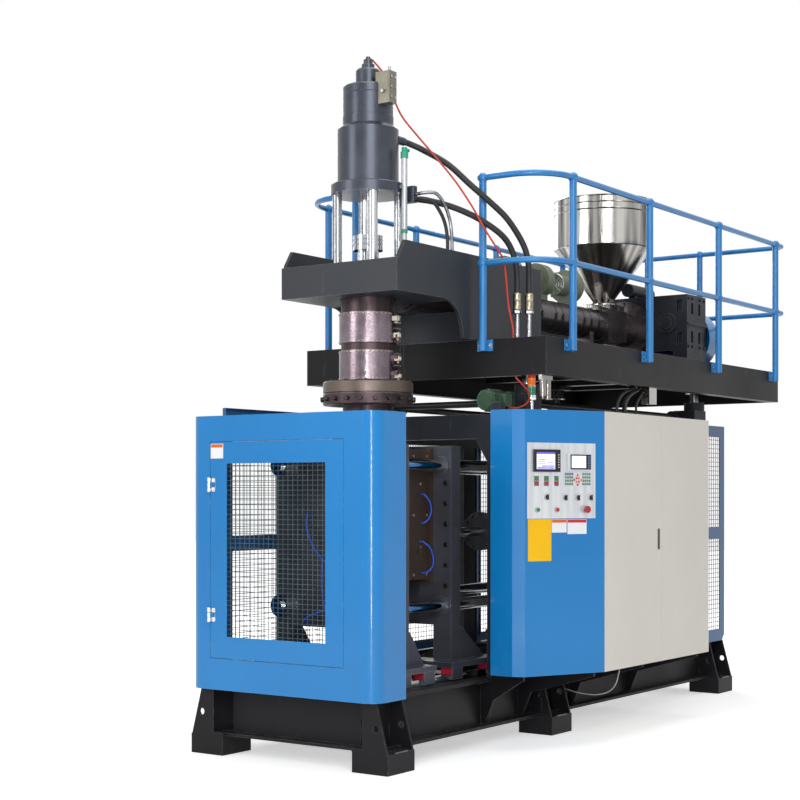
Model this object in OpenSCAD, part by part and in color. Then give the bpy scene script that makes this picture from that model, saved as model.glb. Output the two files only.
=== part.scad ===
// Extrusion blow moulding machine with an accumulator head, for large hollow parts.
// Origin: floor level, centre of the four corner anchor holes. +X runs along the machine
// towards the extruder drive, the operator stands on the -Y side, +Z is up. Millimetres.

/* [Base frame] */
// Length of the base frame over its end feet
base_len = 4620; // [4500:10:4900]
// How far the centrelines of the two long beams lie inside the side guards
beam_inset = 130; // [110:5:150]
// Height of the beam tops above the floor
base_top = 415; // [405:5:425]
// Width of the beam flanges
flange_w = 160; // [140:5:180]
// Thickness of the beam flanges
flange_t = 18; // [10:1:24]
// Thickness of the beam webs
web_t = 12; // [8:1:18]
// Length of a foot block along the machine
foot_l = 256; // [200:2:300]
// Width of a foot block across the machine
foot_w = 245; // [220:5:280]
// Height of a foot block
foot_h = 116; // [90:2:130]
// Place of the middle pair of feet along the machine
mid_foot_x = -390; // [-500:10:300]
// Thickness of the two gusset plates over each foot
gusset_t = 14; // [8:1:20]
// Diameter of the lifting hole in each gusset plate
gusset_hole_d = 40; // [20:2:50]
// Diameter of the anchor hole in each foot block
anchor_d = 26; // [18:1:34]

/* [Clamp] */
// Place of the mould parting plane, on the head axis
head_x = -1513; // [-1540:1:-1500]
// How far the sides of the platens lie inside the linear rails
platen_inset = 35; // [25:5:65]
// Thickness of a platen
platen_t = 100; // [80:5:110]
// Underside of the platens
platen_z0 = 740; // [720:5:760]
// Top of the platens
platen_z1 = 1830; // [1800:5:1840]
// Depth of one mould half with its backing plate
mould_depth = 223; // [200:1:235]
// Gap between the moulds' backing plates and the tie bars
mould_tie_gap = 22.5; // [10:2.5:60]
// Underside of the moulds
mould_z0 = 1000; // [960:5:1030]
// Top of the moulds
mould_z1 = 1810; // [1760:5:1815]
// Tie bar diameter
tie_d = 75; // [50:1:90]
// How far the tie bars lie inside the sides of the platens
tie_inset = 70; // [60:5:80]
// Height of the lower tie bars
tie_z0 = 860; // [840:5:880]
// Height of the upper tie bars
tie_z1 = 1710; // [1690:5:1730]
// Running clearance of the tie bars in the moving platen, on the radius
tie_clear = 0.1; // [0.05:0.05:0.3]
// Front face of the rear yoke
yoke_x = 820; // [780:5:860]
// Height of the clamp cylinder's axis
ram_z = 1285; // [1240:5:1320]
// Outside diameter of the clamp cylinder
cylinder_d = 200; // [180:5:230]
// Length of the clamp cylinder in front of the yoke
cylinder_len = 1029; // [940:1:1060]
// Clamp rod diameter
clamp_rod_d = 62; // [40:2:80]
// How far the linear rails lie inside the centrelines of the long beams
rail_inset = 55; // [50:1:60]
// Width of a linear rail
rail_w = 45; // [30:1:50]
// Height of a linear rail
rail_h = 40; // [30:1:48]
// Running gap between rail and carriage
rail_clear = 0.3; // [0.1:0.1:1]

/* [Guards and cabinets] */
// Length of the end cover along the machine
cover_l = 290; // [250:5:300]
// Half width of the end cover and of the side guards
guard_half_w = 680; // [676:2:700]
// Lower edge of the end cover
cover_z0 = 395; // [385:5:404]
// Top of the end cover
cover_z1 = 1995; // [1960:5:2040]
// Radius of the end cover's upright corners
cover_r = 85; // [40:5:110]
// Sheet thickness of covers, doors and cabinets
sheet_t = 4; // [2:0.5:6]
// Lower edge of the end door
door_z0 = 581; // [560:1:620]
// Upper edge of the end door
door_z1 = 1842; // [1800:1:1860]
// Far edge of the end door, on the hinge side
door_y1 = 516; // [500:1:530]
// Near edge of the end door
door_y0 = -462; // [-480:1:-440]
// Gap round the doors
door_gap = 3; // [2:0.5:5]
// Frame width round the end door's window
door_frame = 127; // [100:1:150]
// Width of a mesh wire
wire_w = 6; // [4:1:10]
// Front of the electrical cabinet
cabinet_y = -1160; // [-1200:5:-1120]
// Left side of the electrical cabinet
cabinet_x0 = -640; // [-660:5:-620]
// Right side of the electrical cabinet
cabinet_x1 = 890; // [800:5:950]
// Underside of both cabinets
cabinet_z0 = 445; // [430:5:460]
// Top of both cabinets
cabinet_z1 = 2045; // [2000:5:2080]
// Gap between the cabinets' backs and the plane of the side guards
cabinet_gap = 0; // [0:2:20]
// How far the side guards stop short of the base frame's right end
guard_end = 60; // [10:5:160]
// Lower edge of the side guards
guard_z0 = 400; // [390:5:410]
// Top of the side guards
guard_z1 = 2060; // [2040:5:2080]

/* [Portal and lift] */
// Front face of the portal, the side that faces the clamp
portal_x0 = -1030; // [-1040:2:-1020]
// Rear end of the portal's long beams
portal_x1 = 1995; // [1900:5:2100]
// Underside of the portal's beams
portal_z0 = 1880; // [1860:5:1890]
// Top of the portal's beams
portal_z1 = 2030; // [2010:5:2040]
// How far the centrelines of the portal columns lie inside the side guards
column_inset = 80; // [76:1:82]
// Width of a column across the machine
column_w = 94; // [80:2:100]
// Depth of a column along the machine
column_l = 150; // [100:5:160]
// Place of the left pair of screw jacks
jack_x0 = -630; // [-680:5:-600]
// Place of the right pair of screw jacks
jack_x1 = 1870; // [1800:5:1900]
// Diameter of the jack sleeves
sleeve_d = 155; // [120:5:170]
// Diameter of the jack screws
screw_d = 70; // [50:2:80]
// Height of a jack gearbox
jack_h = 140; // [130:5:150]
// Diameter of the line shafts
shaft_d = 45; // [30:1:50]

/* [Platform] */
// Left end of the platform
deck_x0 = -949; // [-960:1:-930]
// Right end of the platform
deck_x1 = 2735; // [2700:5:2800]
// Half width of the platform
deck_half_w = 925; // [900:5:950]
// Lower edge of the platform's rim beams
deck_z0 = 2265; // [2255:5:2280]
// Top of the platform
deck_z1 = 2500; // [2480:5:2520]
// Width of the rim beams' flanges
rim_w = 80; // [60:5:100]
// Handrail height above the platform
rail_top = 1000; // [900:10:1100]
// Handrail post diameter
post_d = 48; // [38:1:55]
// Handrail pipe diameter
pipe_d = 38; // [30:1:42]
// Radius of the handrail's front corner bends
bend_r = 278; // [200:2:300]
// Distance of the side plates of the head frame from the centreline
head_side_y = 432; // [410:2:460]
// Front of the head frame
head_front_x = -1817; // [-1840:1:-1790]
// Rear end of the head frame
head_rear_x = -160; // [-200:5:-100]

/* [Accumulator head] */
// Underside of the die
die_z0 = 1858; // [1850:1:1870]
// Outside diameter of the die
die_d = 309; // [280:1:330]
// Outside diameter of the bolted flange ring
ring_d = 551; // [500:1:580]
// Outside diameter of the head body under the heater bands
head_d = 330; // [300:2:340]
// Thickness of the heater bands
band_t = 12; // [6:1:20]
// Diameter of the accumulator chamber
chamber_d = 220; // [180:2:240]
// Diameter of the hydraulic cylinder body
housing_d = 375; // [340:1:400]
// Diameter of the upper, programming cylinder
upper_d = 307; // [280:1:330]
// Diameter of the flange under the hydraulic cylinder
housing_flange_d = 456; // [446:1:470]
// Column diameter
head_column_d = 58; // [40:1:60]
// Radius of the circle that the columns stand on
head_column_r = 190; // [180:1:200]
// Underside of the hydraulic cylinder's flange
housing_z0 = 3359; // [3300:1:3400]

/* [Extruder] */
// Height of the extruder axis
axis_z = 2820; // [2800:5:2830]
// Diameter of the barrel cover
barrel_d = 230; // [210:2:250]
// Screw diameter
screw_tip_d = 120; // [90:2:130]
// Pitch of the screw flight
screw_pitch = 130; // [100:5:200]
// Place of the hopper's axis
hopper_x = 1530; // [1500:5:1560]
// Hopper diameter
hopper_d = 730; // [600:5:760]
// Top of the hopper
hopper_z1 = 3775; // [3700:5:3800]
// Front face of the gearbox
gearbox_x0 = 1920; // [1900:5:1950]
// Length of the gearbox along the machine
gearbox_l = 336; // [300:2:340]
// Thickness of the belt guard
guard_t = 160; // [120:5:180]
// Radius of the belt guard's round ends
belt_r = 240; // [220:5:245]
// Diameter of the drive motor's frame
motor_d = 380; // [320:5:400]

/* [Control panel] */
// Width of the control plate
plate_w = 495; // [480:5:500]
// Height of the control plate
plate_h = 456; // [440:2:460]
// Lower edge of the control plate
plate_z = 1390; // [1385:1:1395]
// Left edge of the control plate, from the cabinet's front corner
plate_t0 = 71; // [65:1:75]
// Travel of a push button
button_travel = 4; // [2:0.5:6]
// Clearance of a button in its collar, on the radius
button_clear = 0.1; // [0.05:0.05:0.3]

/* [Hidden] */
$fn = 64;

// Root gap left between welded members
weld = 0.3;

// Base frame
beam_y = guard_half_w - beam_inset;
beam_h = base_top - foot_h;
foot_in = beam_y - flange_w / 2 + 5;
foot_out = foot_in + foot_w;
anchor_x = base_len / 2 - foot_l / 2;
anchor_y = foot_out - 45;
cross_x = [-base_len / 2 + 100, head_x, -1000, mid_foot_x, 900, base_len / 2 - 100];
beam_inner = beam_y - flange_w / 2;

// Clamp
rail_y = beam_y - rail_inset;
platen_half_w = rail_y - platen_inset;
tie_y = platen_half_w - tie_inset;
backing_lip = 25;
mould_half_w = tie_y - tie_d / 2 - mould_tie_gap - backing_lip;
collar_wall = 20;
carriage_l = 110;
carriage_w = 84;
foot_plate_z = base_top + 82;
foot_plate_t = 33;
rail_x0 = -2250;
rail_x1 = yoke_x + platen_t + 120;
right_x = head_x + mould_depth;
left_x = head_x - mould_depth;
mould_gap = 0.1;
cylinder_x = yoke_x - cylinder_len;
bore_r = 60;
nut_d = 130;
nut_l = 60;

// Guards
cabinet_back = -guard_half_w - cabinet_gap;
guard_x1 = base_len / 2 - guard_end;
cover_x0 = -base_len / 2 - 60;
lip_z = base_top + 400;
cover_x1 = cover_x0 + cover_l;
guard_depth = 25;
window_x1 = guard_x1 - 90;
windows_z = [[493, 1188], [1283, 1974]];
hinge_x = cover_x0 - 10;
hinge_y = door_y1 + door_gap / 2;
hinges_z = [832, 1592];
knuckle_d = 20;
cabinet_door_t = 22;
cabinet_split = 159;
strip_w = 40;
handle_y = cabinet_y + 6;
handle_z = 1188;

// Control panel, seen in its own plan frame: x along the face from corner a, y outwards
panel_a = [cabinet_x0, cabinet_y];
panel_b = [cabinet_x0 - 520, cabinet_y + 258];
panel_c = [cabinet_x0 - 552, cabinet_y + 328];
panel_angle = atan2(panel_b[1] - panel_a[1], panel_b[0] - panel_a[0]);
plate_t = 3;
screen_t0 = plate_t0 + 266;
controller_t0 = plate_t0 + 34;
start_at = [plate_t0 + 424, plate_z + 53];
stop_at = [plate_t0 + 284, plate_z + 53];
emergency_at = [plate_t0 + 76, plate_z + 54];
selectors_at = [[plate_t0 + 357, plate_z + 129], [plate_t0 + 223, plate_z + 125],
    [plate_t0 + 131, plate_z + 125], [plate_t0 + 37, plate_z + 125]];
doubles_at = [plate_t0 + 433, plate_t0 + 362, plate_t0 + 290];
doubles_z = plate_z + 226;

// Lift
columns_x = [portal_x0, 420, portal_x1 - column_l];
column_y = guard_half_w - column_inset;
jack_y = column_y;
shaft_y = jack_y - 88;
shaft_z = portal_z1 + 90;
jack_half = 100;
jack_in = 125;
jack_out = 50;
sleeve_z1 = portal_z1 + 200;
collar_z = deck_z0 + 35;
joist_z0 = deck_z0 + 135;

// Handrail heights
top_z = deck_z1 + rail_top;
mid_z = deck_z1 + rail_top / 2 - 30;

// Head
body_z1 = 2916;
block_r = 225;
frame_z0 = 2724;
frame_z1 = 3025;
bands_z = [[2228, 2407], [2452, 2636]];
ring_z = [2076, 2219];
housing_z1 = housing_z0 + 405;
upper_z1 = housing_z1 + 258;
ram_z0 = 2560;
ram_top = housing_z0 + 221;
ram_collar_z = body_z1 + 106;
core_top = upper_z1 - 32;
bore_top = housing_z1 + 36;
head_neck_z = upper_z1 - 102;
sensor_z = [body_z1 + 204, housing_z0 + 211];
core_rod_r = 18;
ram_rod_r = 45;
run_clear = 0.1;

// Extruder
feed_x0 = hopper_x - 150;
feed_x1 = hopper_x + 150;
hopper_z0 = 2990;
gate_z = 2955;
gearbox_y = [-520, 300];
gearbox_z = [2646, 3075];
belt_x = gearbox_x0 + gearbox_l + 14;
belt_near = [-310, 2760];
belt_far = [520, 2760];
screw_x0 = -1080;
flight_gap = 1.6;

// Routes of the hoses and of the signal cable, held at both ends
hose_up = [[-1350, -150, 3700], [-1300, -160, 3695], [-1245, -223, 3659], [-1180, -362, 3566],
    [-1101, -476, 3441], [-1001, -556, 3341], [-915, -616, 3255], [-838, -655, 3158],
    [-790, -685, 3060], [-775, -700, 2960], [-770, -700, 2870], [-770, -700, 2775]];
hose_low = [[-1395, -262, 3330], [-1340, -266, 3334], [-1285, -310, 3328], [-1215, -385, 3305],
    [-1133, -461, 3268], [-1043, -531, 3218], [-943, -601, 3143], [-868, -626, 3067],
    [-835, -645, 2960], [-830, -650, 2870], [-830, -650, 2775]];
loop_a = [[-1438, -295.3, 3318], [-1438, -320, 3318], [-1438, -345, 3320], [-1390, -390, 3305],
    [-1330, -408, 3245], [-1290, -416, 3180], [-1272, -421, 3100], [-1270, -422, 3025.5]];
loop_b = [[-1425, -295.3, 3352], [-1425, -320, 3352], [-1425, -345, 3354], [-1370, -400, 3355],
    [-1300, -415, 3300], [-1245, -420, 3210], [-1225, -422, 3110], [-1222, -422, 3025.5]];
signal_route = [[-1498.6, 0, 4199], [-1485, 0, 4199], [-1468, -4, 4195], [-1425, -45, 4130],
    [-1372, -75, 4050],
    [-1362, -92, 3960], [-1345, -135, 3860], [-1325, -205, 3765], [-1275, -325, 3610],
    [-1205, -430, 3455], [-1135, -510, 3300], [-1075, -560, 3170], [-1003, -597, 3065],
    [-944, -618, 2985], [-932, -632, 2860], [-926, -645, 2700],
    [-915, -670, 2560], [-915, -670, 2500.3]];
hose_r = 19;
loop_r = 11;
signal_r = 6;
tube_sides = 8;
hose_steps = 2;

// A box given by its two opposite corners
module span(lo, hi) {
    translate(lo) cube(hi - lo);
}

module rod_x(x0, x1, y, z, d) {
    translate([x0, y, z]) rotate([0, 90, 0]) cylinder(h = x1 - x0, d = d);
}

module rod_y(x, y0, y1, z, d) {
    translate([x, y0, z]) rotate([-90, 0, 0]) cylinder(h = y1 - y0, d = d);
}

module rod_z(x, y, z0, z1, d) {
    translate([x, y, z0]) cylinder(h = z1 - z0, d = d);
}

module both_sides() {
    children();
    mirror([0, 1, 0]) children();
}

// A profile drawn in Y and Z, carried along X
module along_x(x0, x1) {
    translate([x0, 0, 0]) rotate([90, 0, 90]) linear_extrude(x1 - x0) children();
}

// A profile drawn in X and Z, carried along Y
module along_y(y0, y1) {
    translate([0, y1, 0]) rotate([90, 0, 0]) linear_extrude(y1 - y0) children();
}

module i_profile(w, h, tf, tw) {
    polygon([[-w / 2, 0], [w / 2, 0], [w / 2, tf], [tw / 2, tf], [tw / 2, h - tf],
        [w / 2, h - tf], [w / 2, h], [-w / 2, h], [-w / 2, h - tf], [-tw / 2, h - tf],
        [-tw / 2, tf], [-w / 2, tf]]);
}

module c_profile(w, h, t) {
    difference() {
        square([w, h]);
        translate([t, t]) square([w, h - 2 * t]);
    }
}

// Offset of a convex outline by d towards its inside
function cross2(a, b) = a[0] * b[1] - a[1] * b[0];
function unit(v) = v / norm(v);
function left_of(v) = [-v[1], v[0]];
function meet(p, u, q, v) = p + u * cross2(q - p, v) / cross2(u, v);
function inset(pts, d) = [for (i = [0:len(pts) - 1])
    let (n = len(pts), a = pts[(i + n - 1) % n], b = pts[i], c = pts[(i + 1) % n],
        u = unit(b - a), v = unit(c - b))
    meet(b + left_of(u) * d, u, b + left_of(v) * d, v)];

// A round tube swept along a list of points
function frame_at(pts, i) =
    let (n = len(pts), t = unit(pts[min(i + 1, n - 1)] - pts[max(i - 1, 0)]),
        s = unit(cross(t, [0.31, 0.27, 0.91])))
    [t, s, cross(t, s)];
function smooth(pts, steps) = [for (i = [0:len(pts) - 2], k = [0:steps - 1])
    let (n = len(pts), a = pts[max(i - 1, 0)], b = pts[i], c = pts[i + 1],
        d = pts[min(i + 2, n - 1)], t = k / steps)
    0.5 * (2 * b + (c - a) * t + (2 * a - 5 * b + 4 * c - d) * t * t
        + (3 * b - a - 3 * c + d) * t * t * t),
    pts[len(pts) - 1]];
module tube_along(route, r, sides, steps) {
    pts = smooth(route, steps);
    n = len(pts);
    ring = [for (i = [0:n - 1]) let (f = frame_at(pts, i)) for (k = [0:sides - 1])
        pts[i] + r * (cos(360 * k / sides) * f[1] + sin(360 * k / sides) * f[2])];
    walls = [for (i = [0:n - 2], k = [0:sides - 1])
        let (a = i * sides + k, b = i * sides + (k + 1) % sides) [a, a + sides, b + sides, b]];
    first = [[for (k = [0:sides - 1]) k]];
    last = [[for (k = [sides - 1:-1:0]) (n - 1) * sides + k]];
    polyhedron(ring, concat(walls, first, last), convexity = 6);
}

// A window's worth of wire mesh, nx by ny gaps, drawn flat
module mesh_sheet(w, h, nx, ny) {
    px = (w - wire_w) / nx;
    py = (h - wire_w) / ny;
    difference() {
        square([w, h]);
        for (i = [0:nx - 1], k = [0:ny - 1])
            translate([wire_w + i * px, wire_w + k * py]) square([px - wire_w, py - wire_w]);
    }
}

module gusset() {
    web = beam_y + web_t / 2 + weld;
    edge = beam_y + flange_w / 2 + weld;
    difference() {
        polygon([[web, foot_h + flange_t + weld], [edge, foot_h + flange_t + weld], [edge, foot_h],
            [foot_out - 6, foot_h], [edge + 8, base_top - flange_t - weld],
            [web, base_top - flange_t - weld]]);
        translate([beam_y + flange_w / 2 + 8, foot_h + 134]) circle(d = gusset_hole_d);
    }
}

module foot(x) {
    difference() {
        span([x - foot_l / 2, foot_in, 0], [x + foot_l / 2, foot_out, foot_h - weld]);
        translate([x, anchor_y, -1]) cylinder(h = foot_h + 2, d = anchor_d);
    }
    along_x(x - foot_l / 2, x - foot_l / 2 + gusset_t) gusset();
    along_x(x + foot_l / 2 - gusset_t, x + foot_l / 2) gusset();
}

module base_frame() color("#333336") {
    both_sides() {
        translate([0, beam_y, foot_h]) along_x(-base_len / 2, base_len / 2)
            i_profile(flange_w, beam_h, flange_t, web_t);
        foot(-anchor_x);
        foot(mid_foot_x);
        foot(anchor_x);
    }
    mirror([0, 1, 0]) {
        for (x = [cabinet_x0 - 20, cabinet_x0 + 640, cabinet_x1 - 60])
            cabinet_bracket(x, -cabinet_y - 60);
        cabinet_bracket(panel_b[0] + 60, -panel_b[1] - 42);
    }
    for (x = cross_x)
        translate([x, 0, foot_h]) rotate([0, 0, 90])
            along_x(-beam_inner + weld, beam_inner - weld)
                i_profile(flange_w, beam_h, flange_t, web_t);
}

// Braced bracket that carries the cabinets, drawn on the far side
module cabinet_bracket(x, out) {
    web = beam_y + web_t / 2 + weld;
    edge = beam_y + flange_w / 2 + weld;
    along_x(x - 10, x + 10)
        polygon([[web, foot_h + flange_t + weld], [web + 30, foot_h + flange_t + weld],
            [edge + 20, base_top - 130], [out, cabinet_z0 - 30], [out, cabinet_z0], [edge, cabinet_z0],
            [edge, base_top - flange_t - weld], [web, base_top - flange_t - weld]]);
}

module linear_rails() color("#8d9094") {
    both_sides()
        span([rail_x0, rail_y - rail_w / 2, base_top], [rail_x1, rail_y + rail_w / 2, base_top + rail_h]);
}

module portal_frame() color("#3a3d42") {
    beam_x0 = portal_x0 + 100;
    inner = column_y - column_w / 2;
    outer = column_y + column_w / 2;
    both_sides() {
        span([beam_x0 + weld, inner, portal_z0], [portal_x1, outer, portal_z1]);
        for (x = columns_x)
            span([x, inner, base_top], [x + column_l, outer, portal_z0 - weld]);
        along_x(portal_x0, portal_x0 + 16)
            polygon([[inner - 85, portal_z0 - weld], [inner - weld, portal_z0 - weld],
                [inner - weld, portal_z0 - 140]]);
    }
    span([portal_x0, -outer, portal_z0], [beam_x0, outer, portal_z1]);
    span([portal_x1 - column_l, -inner + weld, portal_z0], [portal_x1, inner - weld, portal_z1]);
    span([portal_x0, -outer, portal_z1], [portal_x0 + 60, -outer + 60, portal_z1 + 70]);
}

// Plan outline of a cover with two rounded corners at its left end
module cover_plan(d) {
    r = cover_r - d;
    x0 = cover_x0 + d;
    y1 = guard_half_w - d;
    translate([x0 + r, -y1]) square([cover_x1 - x0 - r + d, 2 * y1]);
    translate([x0, -y1 + r]) square([r, 2 * y1 - 2 * r]);
    for (s = [-1, 1]) translate([x0 + r, s * (y1 - r)]) circle(r = r);
}

module end_cover() color("#2b83c6") {
    difference() {
        translate([0, 0, cover_z0]) linear_extrude(cover_z1 - cover_z0) cover_plan(0);
        translate([0, 0, cover_z0 - 1]) linear_extrude(base_top - cover_z0 + 1) cover_plan(sheet_t);
        translate([0, 0, base_top + sheet_t])
            linear_extrude(cover_z1 - base_top - 2 * sheet_t) cover_plan(sheet_t);
        span([cover_x0 - 1, door_y0 - door_gap, door_z0 - door_gap],
            [cover_x0 + sheet_t + 1, door_y1 + door_gap, door_z1 + door_gap]);
        span([rail_x0 - 10, -guard_half_w + sheet_t, base_top - 1],
            [cover_x1 + 1, guard_half_w - sheet_t, base_top + sheet_t + 1]);
    }
    span([cover_x1 - 30, -guard_half_w + sheet_t, lip_z],
        [cover_x1 - 30 + sheet_t, -guard_half_w + 60, cover_z1 - sheet_t]);
    span([cover_x1 - 30, guard_half_w - 60, lip_z],
        [cover_x1 - 30 + sheet_t, guard_half_w - sheet_t, cover_z1 - sheet_t]);
    for (z = hinges_z) {
        difference() {
            union() {
                rod_z(hinge_x, hinge_y, z + 15, z + 43, knuckle_d);
                rod_z(hinge_x, hinge_y, z - 43, z - 15, knuckle_d);
                span([hinge_x, hinge_y, z + 15], [cover_x0, hinge_y + 34, z + 43]);
                span([hinge_x, hinge_y, z - 43], [cover_x0, hinge_y + 34, z - 15]);
            }
            rod_z(hinge_x, hinge_y, z - 50, z + 50, 10);
            span([hinge_x - 20, hinge_y + knuckle_d / 2, z - 44], [cover_x0 - 4, hinge_y + 40, z + 44]);
        }
        rod_z(hinge_x, hinge_y, z - 46, z + 46, 9.9);
    }
}

module end_door() color("#3a8fd0") {
    y0 = door_y0 + door_frame;
    y1 = door_y1 - door_frame;
    z0 = door_z0 + door_frame;
    z1 = door_z1 - door_frame;
    difference() {
        span([cover_x0, door_y0, door_z0], [cover_x0 + 22, door_y1, door_z1]);
        span([cover_x0 + 3, door_y0 + 3, door_z0 + 3], [cover_x0 + 23, door_y1 - 3, door_z1 - 3]);
        span([cover_x0 - 1, y0, z0], [cover_x0 + 5, y1, z1]);
    }
    translate([cover_x0 + 3, y0 - 20, z0 - 20]) rotate([90, 0, 90])
        linear_extrude(3) mesh_sheet(y1 - y0 + 40, z1 - z0 + 40, 8, 14);
    for (z = hinges_z) difference() {
        union() {
            rod_z(hinge_x, hinge_y, z - 14.5, z + 14.5, knuckle_d);
            span([hinge_x, hinge_y - 48, z - 14.5], [cover_x0, hinge_y, z + 14.5]);
        }
        rod_z(hinge_x, hinge_y, z - 20, z + 20, 10);
        span([hinge_x - 20, hinge_y - 60, z - 16], [cover_x0 - 4, hinge_y - knuckle_d / 2, z + 16]);
    }
}

// One bay of a side guard in its own plane: x along the guard, y up, windows with mesh
module guard_bay(x0, x1, w0, w1, corner, nx, ny) {
    difference() {
        linear_extrude(guard_depth)
            polygon([[x0, guard_z0], [x1 - corner, guard_z0], [x1, guard_z0 + corner],
                [x1, guard_z1], [x0, guard_z1]]);
        translate([0, 0, sheet_t]) linear_extrude(guard_depth)
            polygon([[x0 + sheet_t, guard_z0 + sheet_t], [x1 - corner - 2, guard_z0 + sheet_t],
                [x1 - sheet_t, guard_z0 + corner + 2], [x1 - sheet_t, guard_z1 - sheet_t],
                [x0 + sheet_t, guard_z1 - sheet_t]]);
        for (w = windows_z)
            translate([w0, w[0], -1]) cube([w1 - w0, w[1] - w[0], sheet_t + 2]);
    }
    for (w = windows_z)
        translate([w0 - 15, w[0] - 15, sheet_t])
            linear_extrude(3) mesh_sheet(w1 - w0 + 30, w[1] - w[0] + 30, nx, ny);
}

// Loose spacers between a side guard and the portal, level with the guard's bars
module guard_spacers(xs) {
    for (x = xs, z = [guard_z0 + 30, windows_z[0][1] + 22, guard_z1 - 70])
        span([x + 40, column_y + column_w / 2, z],
            [x + column_l - 40, guard_half_w - sheet_t - weld, z + 40]);
}

module near_guard() color("#27527e") {
    translate([0, -guard_half_w, 0]) rotate([90, 0, 0]) mirror([0, 0, 1])
        guard_bay(cabinet_x1 + 10, guard_x1, cabinet_x1 + 60, window_x1, 45, 10, 6);
    mirror([0, 1, 0]) guard_spacers([columns_x[2]]);
}

module far_guard() color("#27527e") {
    splits = [cover_x1 + 2, -650, 762, guard_x1];
    for (i = [0:2])
        translate([0, guard_half_w, 0]) rotate([90, 0, 0])
            guard_bay(splits[i], splits[i + 1] - 2, splits[i] + 88, splits[i + 1] - 90, 2, 5, 4);
    guard_spacers(columns_x);
}

module control_cabinet() color("#2b83c6") {
    pts = [panel_a, [cabinet_x0, cabinet_back], [panel_c[0], cabinet_back], panel_c, panel_b];
    difference() {
        translate([0, 0, cabinet_z0]) linear_extrude(cabinet_z1 - cabinet_z0) polygon(pts);
        translate([0, 0, cabinet_z0 + sheet_t])
            linear_extrude(cabinet_z1 - cabinet_z0 - 2 * sheet_t) polygon(inset(pts, sheet_t));
    }
}

module on_panel() {
    translate([panel_a[0], panel_a[1], 0]) rotate([0, 0, panel_angle]) children();
}

// A disc or knob standing out of the panel at [t, z] from depth d0 to d1
module stub(at, d0, d1, d) {
    on_panel() translate([at[0], d0, at[1]]) rotate([-90, 0, 0]) cylinder(h = d1 - d0, d = d);
}

module button_collar(at, d) {
    difference() {
        stub(at, plate_t, plate_t + 6, d);
        stub(at, plate_t - 1, plate_t + 8, d - 8);
    }
}

module control_plate() color("#cfd3d6") {
    on_panel() span([plate_t0, 0, plate_z], [plate_t0 + plate_w, plate_t, plate_z + plate_h]);
    button_collar(start_at, 32);
    button_collar(stop_at, 32);
    button_collar(emergency_at, 40);
    for (s = selectors_at) button_collar(s, 32);
    for (t = doubles_at) {
        on_panel() span([t - 15, plate_t, doubles_z - 28], [t + 15, plate_t + 5, doubles_z + 28]);
        for (s = [-1, 1])
            on_panel() span([t - 11, plate_t + 5, doubles_z + s * 13 - 11],
                [t + 11, plate_t + 9, doubles_z + s * 13 + 11]);
    }
}

module touch_screen() color("#1c1d20") {
    difference() {
        on_panel() span([screen_t0, plate_t, plate_z + 281], [screen_t0 + 189, plate_t + 14, plate_z + 415]);
        on_panel() span([screen_t0 + 38, plate_t + 12, plate_z + 297],
            [screen_t0 + 171, plate_t + 15, plate_z + 399]);
    }
}

module parison_controller() color("#d9dcdd") {
    difference() {
        on_panel() span([controller_t0, plate_t, plate_z + 288],
            [controller_t0 + 178, plate_t + 12, plate_z + 392]);
        on_panel() span([controller_t0 + 36, plate_t + 10, plate_z + 300],
            [controller_t0 + 164, plate_t + 13, plate_z + 382]);
    }
    on_panel() span([controller_t0 - 2, plate_t, plate_z + 196],
        [controller_t0 + 200, plate_t + 3, plate_z + 286]);
    for (i = [0:3], k = [0:3], side = [0, 128])
        on_panel() span([controller_t0 + 6 + side + i * 16, plate_t + 3, plate_z + 202 + k * 20],
            [controller_t0 + 17 + side + i * 16, plate_t + 5, plate_z + 215 + k * 20]);
    for (p = [[92, 244], [108, 244], [92, 222], [108, 222], [100, 262], [76, 233]])
        on_panel() span([controller_t0 + p[0], plate_t + 3, plate_z + p[1]],
            [controller_t0 + p[0] + 11, plate_t + 5, plate_z + p[1] + 12]);
}

module notice_plates() color("#e8c21c") {
    on_panel() {
        span([plate_t0 + 322, 0, plate_z - 255], [plate_t0 + 489, 1.5, plate_z - 3]);
        span([plate_t0 + 212, 0, plate_z - 85], [plate_t0 + 319, 1.5, plate_z - 5]);
        span([plate_t0 + 65, 0, plate_z - 95], [plate_t0 + 205, 1.5, plate_z - 6]);
    }
}

module push_button(at) {
    stub(at, plate_t + button_travel + 0.3, plate_t + button_travel + 10, 24 - 2 * button_clear);
}

module start_button() color("#1f8a4a") {
    push_button(start_at);
}

module stop_button() color("#b3262b") {
    push_button(stop_at);
}

module emergency_button() color("#c4242c") {
    stub(emergency_at, plate_t + button_travel + 0.3, plate_t + 14 + button_travel,
        32 - 2 * button_clear);
    stub(emergency_at, plate_t + 14 + button_travel, plate_t + 26 + button_travel, 44);
}

module selector(at) {
    stub(at, plate_t + 0.3, plate_t + 8, 24 - 2 * button_clear);
    on_panel() span([at[0] - 4.5, plate_t + 8, at[1] - 16], [at[0] + 4.5, plate_t + 20, at[1] + 16]);
}

module mode_selector() color("#1a1a1c") {
    selector(selectors_at[0]);
}

module heat_selector() color("#1a1a1c") {
    selector(selectors_at[1]);
}

module clamp_selector() color("#1a1a1c") {
    selector(selectors_at[2]);
}

module lift_selector() color("#1a1a1c") {
    selector(selectors_at[3]);
}

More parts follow.
